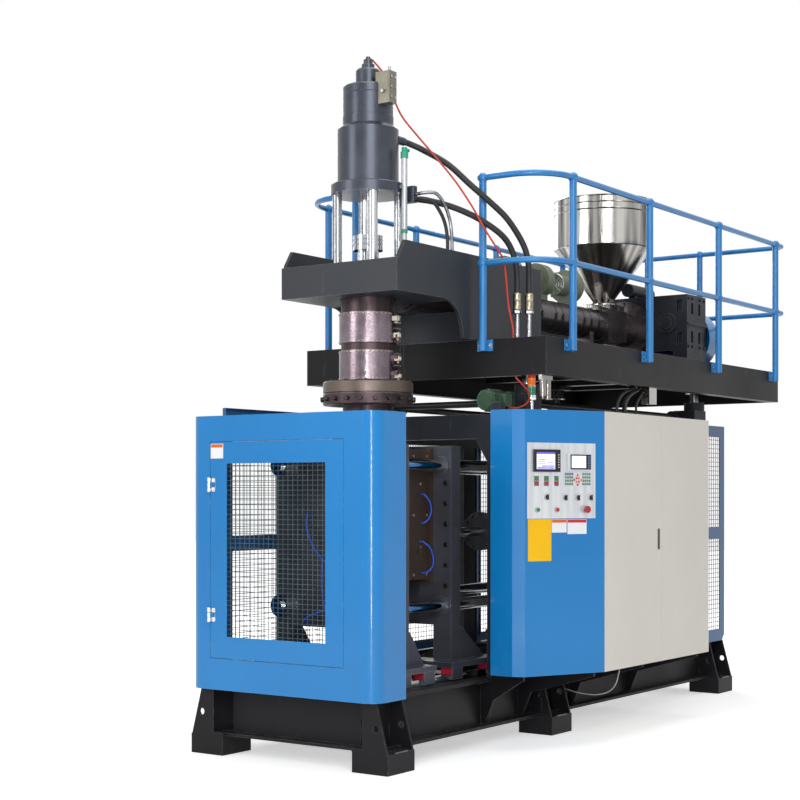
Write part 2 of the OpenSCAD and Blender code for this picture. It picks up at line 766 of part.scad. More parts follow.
module electrical_cabinet() color("#d8d5cf") {
    front = cabinet_y + cabinet_door_t + 0.5;
    difference() {
        union() {
            span([cabinet_x0, front, cabinet_z0], [cabinet_x1, cabinet_back, cabinet_z1]);
            span([cabinet_x0, cabinet_y, cabinet_z0],
                [cabinet_x0 + strip_w - 2, front - weld, cabinet_z1]);
        }
        span([cabinet_x0 + strip_w, front - 1, cabinet_z0 + 30],
            [cabinet_x1 - sheet_t, cabinet_back - sheet_t, cabinet_z1 - 30]);
    }
    span([cabinet_x0 + 120, cabinet_back - sheet_t - 30, cabinet_z0 + 120],
        [cabinet_x1 - 80, cabinet_back - sheet_t, cabinet_z1 - 120]);
    for (z = [700, 1000, 1300, 1600], i = [0:3])
        span([cabinet_x0 + 180 + i * 310, cabinet_back - sheet_t - 130, z],
            [cabinet_x0 + 420 + i * 310, cabinet_back - sheet_t - 30, z + 160]);
}

module cabinet_door(x0, x1) {
    difference() {
        span([x0, cabinet_y, cabinet_z0], [x1, cabinet_y + cabinet_door_t, cabinet_z1]);
        span([x0 + 3, cabinet_y + 3, cabinet_z0 + 3],
            [x1 - 3, cabinet_y + cabinet_door_t + 1, cabinet_z1 - 3]);
    }
}

module cabinet_door_left() color("#d8d5cf") {
    difference() {
        union() {
            cabinet_door(cabinet_x0 + strip_w, cabinet_split - 1.5);
            span([cabinet_split - 72, cabinet_y + 3, 1155], [cabinet_split - 20, cabinet_y + 20, 1331]);
        }
        span([cabinet_split - 65, cabinet_y - 1, 1172], [cabinet_split - 27, cabinet_y + 15, 1314]);
        rod_x(cabinet_split - 69, cabinet_split - 23, handle_y, handle_z, 6.1);
    }
}

module cabinet_door_right() color("#d8d5cf") {
    cabinet_door(cabinet_split + 1.5, cabinet_x1);
}

module cabinet_handle() color("#1c1c1e") {
    span([cabinet_split - 60, cabinet_y + 1, 1180], [cabinet_split - 32, cabinet_y + 11, 1306]);
    rod_x(cabinet_split - 68, cabinet_split - 24, handle_y, handle_z, 6);
}

module jack(x) {
    difference() {
        union() {
            span([x - jack_half, jack_y - jack_in, portal_z1],
                [x + jack_half, jack_y + jack_out, portal_z1 + jack_h]);
            rod_z(x, jack_y, portal_z1 + jack_h, sleeve_z1, sleeve_d);
        }
        rod_z(x, jack_y, portal_z1 + 15, sleeve_z1 + 1, screw_d + 2 * run_clear);
        rod_x(x - jack_half - 1, x - jack_half + 25, shaft_y, shaft_z, shaft_d + 0.1);
        rod_x(x + jack_half - 25, x + jack_half + 1, shaft_y, shaft_z, shaft_d + 0.1);
        if (x == jack_x0)
            rod_y(x, jack_y - jack_in - 1, jack_y - jack_in + 11, shaft_z, shaft_d + 0.1);
    }
}

module screw_jacks() color("#3c4046") {
    both_sides() for (x = [jack_x0, jack_x1]) jack(x);
}

module line_shaft(y) {
    rod_x(jack_x0 + jack_half - 24, jack_x1 - jack_half + 24, y, shaft_z, shaft_d);
    for (x = [jack_x0 + jack_half + 40, jack_x1 - jack_half - 120])
        difference() {
            rod_x(x, x + 80, y, shaft_z, shaft_d + 40);
            rod_x(x - 1, x + 81, y, shaft_z, shaft_d - 1);
        }
}

module near_line_shaft() color("#2c2e31") {
    line_shaft(-shaft_y);
}

module far_line_shaft() color("#2c2e31") {
    line_shaft(shaft_y);
}

module cross_shaft() color("#2c2e31") {
    rod_y(jack_x0, -jack_y + jack_in - 10, jack_y - jack_in + 10, shaft_z, shaft_d);
}

module lift_motor() color("#2f6b4f") {
    x1 = jack_x0 - jack_half;
    span([x1 - 60, -shaft_y - 60, shaft_z - 60], [x1, -shaft_y + 60, shaft_z + 60]);
    rod_x(x1 - 250, x1 - 60, -shaft_y, shaft_z, 130);
    rod_x(x1 - 262, x1 - 250, -shaft_y, shaft_z, 110);
    for (i = [0:7])
        translate([0, -shaft_y, shaft_z]) rotate([i * 45 + 10, 0, 0])
            span([x1 - 240, -4, 64], [x1 - 80, 4, 72]);
    span([x1 - 190, -shaft_y - 105, shaft_z - 35], [x1 - 110, -shaft_y - 62, shaft_z + 35]);
}

module tower_light() color("#c8402a") {
    x = cabinet_x0 - 130;
    y = cabinet_back - 38;
    rod_z(x, y, cabinet_z1, cabinet_z1 + 12, 60);
    rod_z(x, y, cabinet_z1 + 12, cabinet_z1 + 75, 22);
    rod_z(x, y, cabinet_z1 + 75, cabinet_z1 + 110, 56);
    for (i = [0:2]) rod_z(x, y, cabinet_z1 + 110 + i * 56, cabinet_z1 + 160 + i * 56, 50);
    for (i = [0:2]) rod_z(x, y, cabinet_z1 + 160 + i * 56, cabinet_z1 + 166 + i * 56, 56);
}

module blow_pin_base() color("#4a4d52") {
    difference() {
        union() {
            span([head_x - 80, -150, base_top], [head_x + 80, 150, base_top + 30]);
            rod_z(head_x, 0, base_top + 30, mould_z0 - 230, 140);
            span([head_x - 70, -70, mould_z0 - 230], [head_x + 70, 70, mould_z0 - 200]);
        }
        rod_z(head_x, 0, base_top + 60, mould_z0 - 199, 60 + 2 * run_clear);
    }
}

module blow_pin() color("#b8bcc0") {
    rod_z(head_x, 0, base_top + 160, mould_z0 - 110, 60);
    rod_z(head_x, 0, mould_z0 - 110, mould_z0 - 85, 100);
    rod_z(head_x, 0, mould_z0 - 85, mould_z0 - 8, 50);
}

// Carriage that runs on a linear rail, with an end seal on both ends
module carriage(x) {
    difference() {
        span([x, rail_y - carriage_w / 2, base_top + 12], [x + carriage_l, rail_y + carriage_w / 2,
            foot_plate_z - weld]);
        span([x - 1, rail_y - rail_w / 2 - rail_clear, base_top],
            [x + carriage_l + 1, rail_y + rail_w / 2 + rail_clear, base_top + rail_h + rail_clear]);
    }
}

// Foot of a platen: sole plate on two carriages, upright under the platen and two gussets
module platen_foot(px, x0, x1) {
    inner = platen_half_w - 130;
    z0 = foot_plate_z + foot_plate_t + weld;
    z1 = platen_z0 - weld;
    root = px + platen_t + weld;
    span([x0, inner, foot_plate_z], [x1, rail_y + carriage_w / 2 + 4, z0 - weld]);
    carriage(x0 + 15);
    carriage(x1 - carriage_l - 15);
    span([px, inner, z0], [px + platen_t, platen_half_w, z1]);
    for (y = [inner + 15, platen_half_w - 20])
        along_y(y, y + 16)
            polygon([[root, z0], [min(px + 380, x1 - 10), z0], [root + 15, z1 - 8], [root, z1 - 8]]);
}

module platen(x, clear) {
    difference() {
        span([x, -platen_half_w, platen_z0], [x + platen_t, platen_half_w, platen_z1]);
        for (y = [-tie_y, tie_y], z = [tie_z0, tie_z1])
            rod_x(x - 1, x + platen_t + 1, y, z, tie_d + 2 * clear);
    }
}

module platen_right() color("#43474e") {
    difference() {
        platen(right_x, tie_clear);
        for (y = [-425, 425], k = [0:5])
            rod_x(right_x - 1, right_x + 40, y, mould_z0 - 20 + k * 125, 22);
    }
    for (y = [-tie_y, tie_y], z = [tie_z0, tie_z1])
        difference() {
            rod_x(right_x - 12, right_x, y, z, tie_d + 2 * collar_wall);
            rod_x(right_x - 13, right_x + 1, y, z, tie_d + 2 * tie_clear);
        }
    both_sides() platen_foot(right_x, right_x - 115, right_x + 440);
    rod_x(right_x + platen_t, right_x + platen_t + 30, 0, ram_z, 190);
}

module platen_left() color("#43474e") {
    platen(left_x - platen_t, 0.3);
    both_sides() platen_foot(left_x - platen_t, left_x - platen_t - 110, left_x + 171);
}

// Mould half with its backing plate, cavity, neck and cooling connections; built from the parting plane
module mould_half() {
    half = mould_half_w - 10;
    zc = (mould_z0 + mould_z1) / 2;
    difference() {
        union() {
            span([mould_gap, -mould_half_w, mould_z0 + 20], [mould_depth - 36, mould_half_w, mould_z1]);
            span([mould_depth - 36, -mould_half_w - backing_lip, mould_z0],
                [mould_depth, mould_half_w + backing_lip, mould_z1 + 5]);
        }
        span([-1, -half + 100, mould_z0 + 150], [110, half - 100, mould_z1 - 130]);
        rod_z(0, 0, mould_z0 - 1, mould_z0 + 160, 92);
        for (y = [-half + 100, half - 100])
            rod_z(0, y, mould_z0 + 150, mould_z1 - 130, 160);
        for (y = [-half + 20, half - 20], z = [mould_z0 + 60, mould_z1 - 40])
            rod_x(-1, 60, y, z, 30);
    }
    for (y = [-half - 20, half + 0], z = [zc - 220, zc + 120])
        rod_y(mould_depth * 0.45, y, y + 20, z, 36);
}

module mould_right() color("#6b5a4c") {
    translate([head_x, 0, 0]) mould_half();
}

module mould_left() color("#6b5a4c") {
    translate([head_x, 0, 0]) mirror([1, 0, 0]) mould_half();
}

module clamp_rod() color("#b9bec4") {
    rod_x(right_x + platen_t + 30, cylinder_x + 130, 0, ram_z, clamp_rod_d);
    rod_x(right_x + platen_t + 30, right_x + platen_t + 75, 0, ram_z, 120);
    rod_x(cylinder_x + 130, cylinder_x + 190, 0, ram_z, 2 * (bore_r - run_clear));
}

module tie_bars() color("#c9ced3") {
    for (y = [-tie_y, tie_y], z = [tie_z0, tie_z1]) {
        rod_x(left_x - platen_t - nut_l - 20, yoke_x + platen_t + nut_l + 20, y, z, tie_d);
        difference() {
            union() {
                rod_x(left_x - platen_t - nut_l, left_x - platen_t, y, z, nut_d);
                rod_x(yoke_x + platen_t, yoke_x + platen_t + nut_l, y, z, nut_d);
            }
            rod_x(left_x - platen_t - nut_l - 1, yoke_x + platen_t + nut_l + 1, y, z, tie_d - 1);
        }
    }
}

module rear_yoke() color("#43474e") {
    difference() {
        platen(yoke_x, 0.3);
        rod_x(yoke_x - 1, yoke_x + platen_t + 1, 0, ram_z, cylinder_d - 40);
    }
    both_sides() platen_foot(yoke_x, yoke_x - 125, yoke_x + platen_t + 110);
}

module clamp_cylinder() color("#2b2d31") {
    difference() {
        union() {
            rod_x(cylinder_x, yoke_x, 0, ram_z, cylinder_d);
            rod_x(cylinder_x - 40, cylinder_x, 0, ram_z, cylinder_d + 60);
            rod_x(yoke_x - 50, yoke_x, 0, ram_z, cylinder_d + 110);
        }
        rod_x(cylinder_x + 20, yoke_x - 60, 0, ram_z, 2 * bore_r);
        rod_x(cylinder_x - 41, cylinder_x + 21, 0, ram_z, clamp_rod_d + 2 * run_clear);
    }
    for (i = [0:11])
        translate([0, 0, ram_z]) rotate([i * 30, 0, 0])
            rod_x(cylinder_x - 54, cylinder_x - 40, cylinder_d / 2 + 14, 0, 20);
}

module platform_deck() color("#35363a") {
    t = 10;
    under = deck_z1 - 8;
    inner = deck_half_w - rim_w - weld;
    both_sides() {
        translate([0, -deck_half_w, deck_z0]) along_x(deck_x0 + t + weld, deck_x1 - t - weld)
            c_profile(rim_w, deck_z1 - deck_z0, t);
        for (x = [jack_x0, jack_x1])
            span([x - 90, jack_y - 90, joist_z0 - 30], [x + 90, jack_y + 90, joist_z0 - weld]);
    }
    for (x = [deck_x0, deck_x1 - t])
        span([x, -deck_half_w, deck_z0], [x + t, deck_half_w, deck_z1]);
    span([deck_x0 + t + weld, -inner, under], [deck_x1 - t - weld, inner, deck_z1]);
    for (x = [jack_x0, 0, 620, 1240, jack_x1, 2400])
        span([x - 50, -inner, joist_z0], [x + 50, inner, under - weld]);
}

module post(x, y, turn) {
    foot_z = deck_z0 + 160;
    translate([x, y, 0]) rotate([0, 0, turn]) difference() {
        union() {
            rod_z(0, 0, foot_z, top_z, post_d);
            for (z = [top_z, mid_z]) translate([0, 0, z]) sphere(d = post_d + 16);
            span([-56, post_d / 2, foot_z], [56, post_d / 2 + 8, foot_z + 70]);
            span([-20, 0, foot_z], [20, post_d / 2 + 8, foot_z + 70]);
        }
        for (s = [-40, 40]) rod_y(s, 0, 60, foot_z + 35, 14);
        for (z = [top_z, mid_z]) rod_x(-60, 60, 0, z, pipe_d + 2 * weld);
    }
}

module railing() color("#3b86c8") {
    off = post_d / 2 + 8;
    y0 = deck_half_w + off;
    x0 = deck_x0 - off;
    x1 = deck_x1 + off;
    turn_x = x0 + bend_r;
    both_sides() {
        post(x0, -492, -90);
        for (x = [deck_x0 + bend_r, 390, 1517, deck_x1 - 134]) post(x, -y0, 0);
        post(x1, -237, 90);
        for (z = [top_z, mid_z]) {
            rod_y(x0, -y0 + bend_r + weld, -492 + 28, z, pipe_d);
            translate([turn_x, -y0 + bend_r, z]) rotate([0, 0, 180])
                rotate_extrude(angle = 90) translate([bend_r, 0]) circle(d = pipe_d);
            rod_x(turn_x + weld, x1 - 60 - weld, -y0, z, pipe_d);
            translate([x1 - 60, -y0 + 60, z]) rotate([0, 0, -90])
                rotate_extrude(angle = 90) translate([60, 0]) circle(d = pipe_d);
        }
    }
    for (z = [top_z, mid_z]) rod_y(x1, -y0 + 60 + weld, y0 - 60 - weld, z, pipe_d);
}

module jack_screws() color("#9a9ea3") {
    both_sides() for (x = [jack_x0, jack_x1]) {
        rod_z(x, jack_y, portal_z1 + 30, collar_z, screw_d);
        rod_z(x, jack_y, collar_z, joist_z0 - 30, screw_d + 60);
    }
}

module head_frame() color("#3a3c40") {
    t = 20;
    arch_r = 220;
    arch_x = deck_x0 - 160;
    both_sides()
        along_y(head_side_y - t, head_side_y)
            polygon(concat([[head_front_x + t + weld, frame_z0], [head_front_x + t + weld, frame_z1 - 95],
                [head_front_x + 82, frame_z1], [head_rear_x, frame_z1], [head_rear_x, deck_z1],
                [arch_x, deck_z1]],
                [for (a = [0:10:90]) [arch_x - arch_r + arch_r * cos(a),
                    deck_z1 + (frame_z0 - deck_z1) * sin(a)]]));
    span([head_front_x, -head_side_y, frame_z0], [head_front_x + t, head_side_y, body_z1]);
    difference() {
        span([head_front_x + t + weld, -head_side_y + t + weld, body_z1 - 30],
            [head_x + 330, head_side_y - t - weld, body_z1]);
        rod_z(head_x, 0, body_z1 - 31, body_z1 + 1, 2 * block_r + 2);
    }
    difference() {
        span([head_front_x + t + weld, -head_side_y + t + weld, frame_z0],
            [head_x + 330, head_side_y - t - weld, frame_z0 + 30]);
        rod_z(head_x, 0, frame_z0 - 1, frame_z0 + 31, 345);
    }
    inner = head_side_y - t - weld;
    span([deck_x0, -inner, deck_z1], [deck_x0 + 16, inner, deck_z1 + 185]);
    span([head_rear_x - 16, -inner, deck_z1], [head_rear_x, inner, deck_z1 + 120]);
}

// The fixed head: die, bolted flange ring, body under the heater bands and block in the frame
module extrusion_head() color("#5c5357") {
    r_body = head_d / 2;
    difference() {
        translate([head_x, 0, 0]) rotate_extrude()
            polygon([[75, die_z0], [die_d / 2 - 12, die_z0], [die_d / 2, die_z0 + 12],
                [die_d / 2, ring_z[0]], [ring_d / 2 - 6, ring_z[0]], [ring_d / 2, ring_z[0] + 6],
                [ring_d / 2, ring_z[0] + 66], [ring_d / 2 - 14, ring_z[0] + 68],
                [ring_d / 2 - 14, ring_z[0] + 74], [ring_d / 2, ring_z[0] + 76],
                [ring_d / 2, ring_z[1] - 6], [ring_d / 2 - 6, ring_z[1]], [r_body, ring_z[1]],
                [r_body, frame_z0 + 30], [block_r, frame_z0 + 30], [block_r, body_z1],
                [chamber_d / 2, body_z1], [chamber_d / 2, die_z0 + 160], [75, die_z0 + 100]]);
        rod_x(head_x + 60, head_x + 260, 0, axis_z, 80);
    }
    for (i = [0:19])
        translate([head_x, 0, 0]) rotate([0, 0, i * 18 + 9])
            rod_x(ring_d / 2 - 6, ring_d / 2 + 16, 0, ring_z[0] + 36, 26);
    for (a = [45:90:315])
        rod_z(head_x + head_column_r * cos(a), head_column_r * sin(a), body_z1 + weld, housing_z0,
            head_column_d);
}

module heater_bands() color("#8a6f68") {
    for (b = bands_z)
        difference() {
            union() {
                rod_z(head_x, 0, b[0], b[1], head_d + 2 * band_t);
                for (z = [b[0] + 30, b[1] - 50])
                    span([head_x + 20, -head_d / 2 - band_t - 26, z],
                        [head_x + 60, -head_d / 2 - band_t + 8, z + 22]);
            }
            rod_z(head_x, 0, b[0] - 1, b[1] + 1, head_d + 0.6);
        }
}

module die_core() color("#a9a6a2") {
    translate([head_x, 0, 0]) rotate_extrude()
        polygon([[0, die_z0 - 4], [60, die_z0 - 4], [60, die_z0 + 30], [36, die_z0 + 130],
            [core_rod_r, die_z0 + 200], [core_rod_r, core_top - 30], [39, core_top - 30],
            [39, core_top], [0, core_top]]);
}

module ram() color("#b4b8bc") {
    bore = core_rod_r + run_clear;
    r = chamber_d / 2 - run_clear;
    z0 = body_z1 - 36;
    z1 = ram_collar_z;
    translate([head_x, 0, 0]) rotate_extrude()
        polygon([[bore, ram_z0], [r, ram_z0], [r, z0], [40, z0], [40, z1], [92, z1],
            [92, z1 + 26], [88, z1 + 28], [88, z1 + 34], [92, z1 + 36], [92, z1 + 54],
            [88, z1 + 56], [88, z1 + 62], [92, z1 + 64], [92, z1 + 89], [ram_rod_r, z1 + 89],
            [ram_rod_r, ram_top - 40], [89, ram_top - 40], [89, ram_top], [bore, ram_top]]);
    for (a = [0:90:270])
        rod_z(head_x + 66 * cos(a), 66 * sin(a), z0, z1, 24);
}

// A fitting in line with the first stretch of a hose, ending where the hose begins
module start_fitting(route, l, d) {
    pts = smooth(route, hose_steps);
    u = unit(pts[0] - pts[1]);
    translate(pts[0] + weld * u) rotate([0, acos(u[2]), atan2(u[1], u[0])]) cylinder(h = l, d = d);
}

module accumulator_housing() color("#5a5c62") {
    rod_r = ram_rod_r + run_clear;
    difference() {
        translate([head_x, 0, 0]) rotate_extrude()
            polygon([[rod_r, housing_z0], [housing_flange_d / 2, housing_z0],
                [housing_flange_d / 2, housing_z0 + 58], [housing_flange_d / 2 - 6, housing_z0 + 64],
                [housing_d / 2, housing_z0 + 64], [housing_d / 2, housing_z1 - 8],
                [upper_d / 2 + 3, housing_z1 + 19], [upper_d / 2 + 3, housing_z1 + 70],
                [upper_d / 2, housing_z1 + 72], [upper_d / 2, upper_z1 - 56],
                [upper_d / 2 - 2, upper_z1 - 53], [upper_d / 2, upper_z1 - 50],
                [upper_d / 2, upper_z1 - 8], [upper_d / 2 - 8, upper_z1], [70, upper_z1],
                [70, upper_z1 + 14], [75.5, upper_z1 + 16], [75.5, upper_z1 + 96],
                [66, upper_z1 + 107], [40, upper_z1 + 107], [40, upper_z1 + 138],
                [28, upper_z1 + 138], [28, upper_z1 + 168], [14, upper_z1 + 168],
                [14, upper_z1 + 186], [0, upper_z1 + 186], [0, upper_z1 - 2], [40, upper_z1 - 2],
                [40, head_neck_z], [core_rod_r + run_clear, head_neck_z],
                [core_rod_r + run_clear, bore_top], [90, bore_top], [90, housing_z0 + 120],
                [rod_r, housing_z0 + 120]]);
    }
    span([head_x - 75, -upper_d / 2 - 61, 3890], [head_x - 5, -upper_d / 2 + 40, 4080]);
    start_fitting(hose_up, 74, 52);
    span([head_x + 62, hose_low[0][1] - 33, 3300], [head_x + 100, -195, 3400]);
    start_fitting(hose_low, 22, 46);
}

module position_sensor() color("#c6cacd") {
    x = head_x + 30;
    y = -250;
    rod_z(x, y, sensor_z[0], sensor_z[1], 36);
    rod_z(x, y, sensor_z[1], sensor_z[1] + 30, 44);
    rod_z(x, y, sensor_z[1] + 30, sensor_z[1] + 60, 30);
    rod_z(x, y, body_z1, sensor_z[0], 30);
    translate([head_x, 0, 0]) rotate([0, 0, atan2(y, 30)])
        span([housing_flange_d / 2 + weld, -8, housing_z0 + 25], [norm([30, y]) - 10, 8, housing_z0 + 45]);
}

module extruder_barrel() color("#4d4a4c") {
    difference() {
        union() {
            rod_x(head_x + block_r + weld, screw_x0 - 40, 0, axis_z, 120);
            rod_x(head_x + 335, screw_x0 - 80 - weld, 0, axis_z, barrel_d + 20);
            rod_x(screw_x0 - 40, feed_x0, 0, axis_z, barrel_d);
            rod_x(screw_x0 - 80, screw_x0 - 40, 0, axis_z, barrel_d + 60);
            span([feed_x0, -125, axis_z - 120], [feed_x1, 125, gate_z - 20]);
            rod_x(feed_x1, gearbox_x0 - 50, 0, axis_z, 260);
            rod_x(gearbox_x0 - 50, gearbox_x0, 0, axis_z, 450);
        }
        rod_x(head_x + block_r, screw_x0, 0, axis_z, 80);
        rod_x(screw_x0 - 1, gearbox_x0 + 1, 0, axis_z, screw_tip_d + 2 * run_clear);
        rod_z(hopper_x, 0, axis_z, gate_z, 120);
    }
    for (i = [0:15])
        translate([0, 0, axis_z]) rotate([i * 22.5, 0, 0])
            rod_x(gearbox_x0 - 66, gearbox_x0 - 50, 205, 0, 24);
    for (x = [-60, 1150])
        difference() {
            span([x, -90, deck_z1], [x + 60, 90, axis_z - 20]);
            rod_x(x - 1, x + 61, 0, axis_z, barrel_d - 1);
        }
}

module extruder_screw() color("#b0b3b5") {
    core_d = screw_tip_d * 0.62;
    rod_x(screw_x0 + 20, gearbox_x0 - 120, 0, axis_z, core_d);
    rod_x(gearbox_x0 - 120, gearbox_x0 - 1, 0, axis_z, screw_tip_d);
    l = gearbox_x0 - 330 - screw_x0;
    translate([screw_x0 + 120, 0, axis_z]) rotate([0, 90, 0])
        linear_extrude(l, twist = -360 * l / screw_pitch, slices = round(l / screw_pitch * 9), $fn = 4)
            translate([core_d / 2 + 0.2, -9]) square([(screw_tip_d - core_d) / 2 - flight_gap, 18]);
}

module blower(x) {
    z = axis_z + barrel_d / 2;
    rod_x(x, x + 90, 0, z + 130, 240);
    span([x + 10, 0, z + 60], [x + 80, 118, z + 240]);
    span([x + 5, -60, z - 12], [x + 85, 60, z + 70]);
    rod_x(x - 130, x, 0, z + 130, 150);
    difference() {
        rod_x(x - 146, x - 130, 0, z + 130, 160);
        rod_x(x - 147, x - 140, 0, z + 130, 140);
    }
    difference() {
        rod_x(x - 142, x - 138, 0, z + 130, 142);
        for (i = [0:7])
            translate([x - 143, 0, z + 130]) rotate([i * 45, 0, 0]) translate([0, -9, 24]) cube([6, 18, 38]);
    }
}

module barrel_blowers() color("#5f6b5c") {
    difference() {
        for (x = [50, 490, 920]) blower(x);
        rod_x(-200, 1400, 0, axis_z, barrel_d + 0.6);
    }
}

module hopper() color("#d3d5d6") {
    r = hopper_d / 2;
    w = 3;
    shoulder = hopper_z1 - 375;
    translate([hopper_x, 0, 0]) rotate_extrude()
        polygon([[60, gate_z + 20], [110, gate_z + 20], [110, gate_z + 32], [60 + w, gate_z + 32],
            [60 + w, hopper_z0], [r, shoulder], [r + 10, shoulder + 4], [r, shoulder + 10],
            [r, hopper_z1 - 110], [r + 8, hopper_z1 - 104], [r, hopper_z1 - 98],
            [r, hopper_z1 - 60], [r + 8, hopper_z1 - 54], [r, hopper_z1 - 48], [r, hopper_z1 - 12],
            [r + 9, hopper_z1 - 6], [r, hopper_z1], [r - w, hopper_z1], [r - w, shoulder + 2],
            [60, hopper_z0 + 2]]);
    difference() {
        span([hopper_x - 120, -120, gate_z - 20], [hopper_x + 120, 120, gate_z + 20]);
        rod_z(hopper_x, 0, gate_z - 21, gate_z + 21, 120);
        span([hopper_x - 121, -85.5, gate_z - 4.5], [hopper_x + 90, 85.5, gate_z + 4.5]);
    }
}

module hopper_gate() color("#9fa3a6") {
    span([hopper_x - 240, -85, gate_z - 4], [hopper_x + 80, 85, gate_z + 4]);
    span([hopper_x - 252, -50, gate_z - 14], [hopper_x - 240, 50, gate_z + 14]);
}

module gearbox() color("#2e3542") {
    x1 = gearbox_x0 + gearbox_l;
    difference() {
        span([gearbox_x0, gearbox_y[0], gearbox_z[0]], [x1, gearbox_y[1], gearbox_z[1]]);
        for (y = [-480, -235], z = [gearbox_z[0] + 50, gearbox_z[1] - 130])
            span([gearbox_x0 - 1, y, z], [gearbox_x0 + 30, y + 50, z + 90]);
        for (x = [gearbox_x0 + 70, gearbox_x0 + 200], z = [gearbox_z[0] + 60, gearbox_z[1] - 150])
            span([x, gearbox_y[0] - 1, z], [x + 40, gearbox_y[0] + 25, z + 90]);
    }
    span([gearbox_x0, gearbox_y[0] - 14, gearbox_z[0] + 195],
        [x1 + 6, gearbox_y[1] + 10, gearbox_z[0] + 215]);
    rod_x(gearbox_x0 - 22, gearbox_x0, -355, axis_z + 40, 150);
    rod_x(gearbox_x0 - 34, gearbox_x0 - 22, -355, axis_z + 40, 90);
    rod_x(x1, belt_x + 60, belt_near[0], belt_near[1], 70);
    span([gearbox_x0, gearbox_y[0], deck_z1], [x1, gearbox_y[0] + 120, gearbox_z[0]]);
    span([gearbox_x0, gearbox_y[1] - 120, deck_z1], [x1, gearbox_y[1], gearbox_z[0]]);
    rod_x(gearbox_x0 - 60, x1 - 20, -40, gearbox_z[1] + 56, 104);
    for (x = [gearbox_x0 + 20, x1 - 80])
        span([x, -70, gearbox_z[1]], [x + 30, -10, gearbox_z[1] + 20]);
}

module racetrack(r) {
    hull() {
        translate([belt_near[0], belt_near[1]]) circle(r = r);
        translate([belt_far[0], belt_far[1]]) circle(r = r);
    }
}

module belt_guard() color("#2f79bb") {
    difference() {
        along_x(belt_x, belt_x + guard_t) racetrack(belt_r);
        along_x(belt_x - 1, belt_x + guard_t - 3) racetrack(belt_r - 3);
    }
    span([belt_x, belt_near[0] - 40, deck_z1],
        [belt_x + guard_t, belt_near[0] + 40, belt_near[1] - belt_r + 1]);
    span([belt_x, belt_far[0] - 40, deck_z1],
        [belt_x + guard_t, belt_far[0] + 40, belt_far[1] - belt_r + 1]);
}

module drive_motor() color("#3a4350") {
    x0 = 1620;
    x1 = belt_x;
    y = belt_far[0];
    z = belt_far[1];
    rod_x(x0 + 90, x1 - 40, y, z, motor_d - 50);
    for (a = [0:15:345])
        translate([0, y, z]) rotate([a, 0, 0])
            span([x0 + 120, -4, motor_d / 2 - 30], [x1 - 80, 4, motor_d / 2]);
    rod_x(x0, x0 + 90, y, z, motor_d - 20);
    rod_x(x1 - 40, x1 - 15, y, z, motor_d + 20);
    rod_x(x1 - 15, x1 + 60, y, z, 70);
    span([x0 + 220, y - 130, z + motor_d / 2 - 40], [x0 + 420, y + 130, z + motor_d / 2 + 60]);
    for (s = [-1, 1])
        span([x0 + 160, y + s * 150 - 40, deck_z1], [x1 - 100, y + s * 150 + 40, z - 90]);
}

module hydraulic_hoses() color("#1d1d1f") {
    tube_along(hose_up, hose_r, tube_sides, hose_steps);
    tube_along(hose_low, hose_r, tube_sides, hose_steps);
    tube_along(loop_a, loop_r, tube_sides, hose_steps);
    tube_along(loop_b, loop_r, tube_sides, hose_steps);
    for (p = [hose_up[len(hose_up) - 1], hose_low[len(hose_low) - 1]]) {
        difference() {
            rod_z(p[0], p[1], p[2] - 90, p[2] + 12, 52);
            rod_z(p[0], p[1], p[2] - weld, p[2] + 13, 2 * hose_r + 1);
        }
        rod_z(p[0], p[1], p[2] - 118, p[2] - 90, 58);
        rod_z(p[0], p[1], deck_z1, p[2] - 118, 26);
    }
}

module signal_cable() color("#c03a2c") {
    tube_along(signal_route, signal_r, tube_sides, hose_steps);
}

module air_regulator() color("#b9bdc0") {
    x = deck_x0 + 60;
    y = -deck_half_w + 40;
    span([x - 60, y - 12, deck_z0 - 30], [x + 70, y + 12, deck_z0]);
    rod_z(x - 30, y, deck_z0 - 130, deck_z0 - 30, 44);
    rod_z(x + 30, y, deck_z0 - 150, deck_z0 - 30, 40);
    rod_z(x - 30, y, deck_z0 - 146, deck_z0 - 130, 16);
    span([490, -deck_half_w + 20, deck_z0 - 115], [600, -deck_half_w + 80, deck_z0]);
}

base_frame();
linear_rails();
portal_frame();
end_cover();
end_door();
near_guard();
far_guard();
control_cabinet();
control_plate();
touch_screen();
parison_controller();
notice_plates();
start_button();
stop_button();
emergency_button();
mode_selector();
heat_selector();
clamp_selector();
lift_selector();
electrical_cabinet();
cabinet_door_left();
cabinet_door_right();
cabinet_handle();
screw_jacks();
lift_motor();
near_line_shaft();
far_line_shaft();
cross_shaft();
tower_light();
blow_pin_base();
blow_pin();
platen_right();
mould_right();
clamp_rod();
platen_left();
mould_left();
tie_bars();
rear_yoke();
clamp_cylinder();
platform_deck();
railing();
jack_screws();
head_frame();
extrusion_head();
heater_bands();
die_core();
ram();
accumulator_housing();
position_sensor();
extruder_barrel();
extruder_screw();
barrel_blowers();
hopper();
hopper_gate();
gearbox();
drive_motor();
belt_guard();
hydraulic_hoses();
signal_cable();
air_regulator();
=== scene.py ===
import math
import random

import bmesh
import bpy
from mathutils import Matrix, Vector


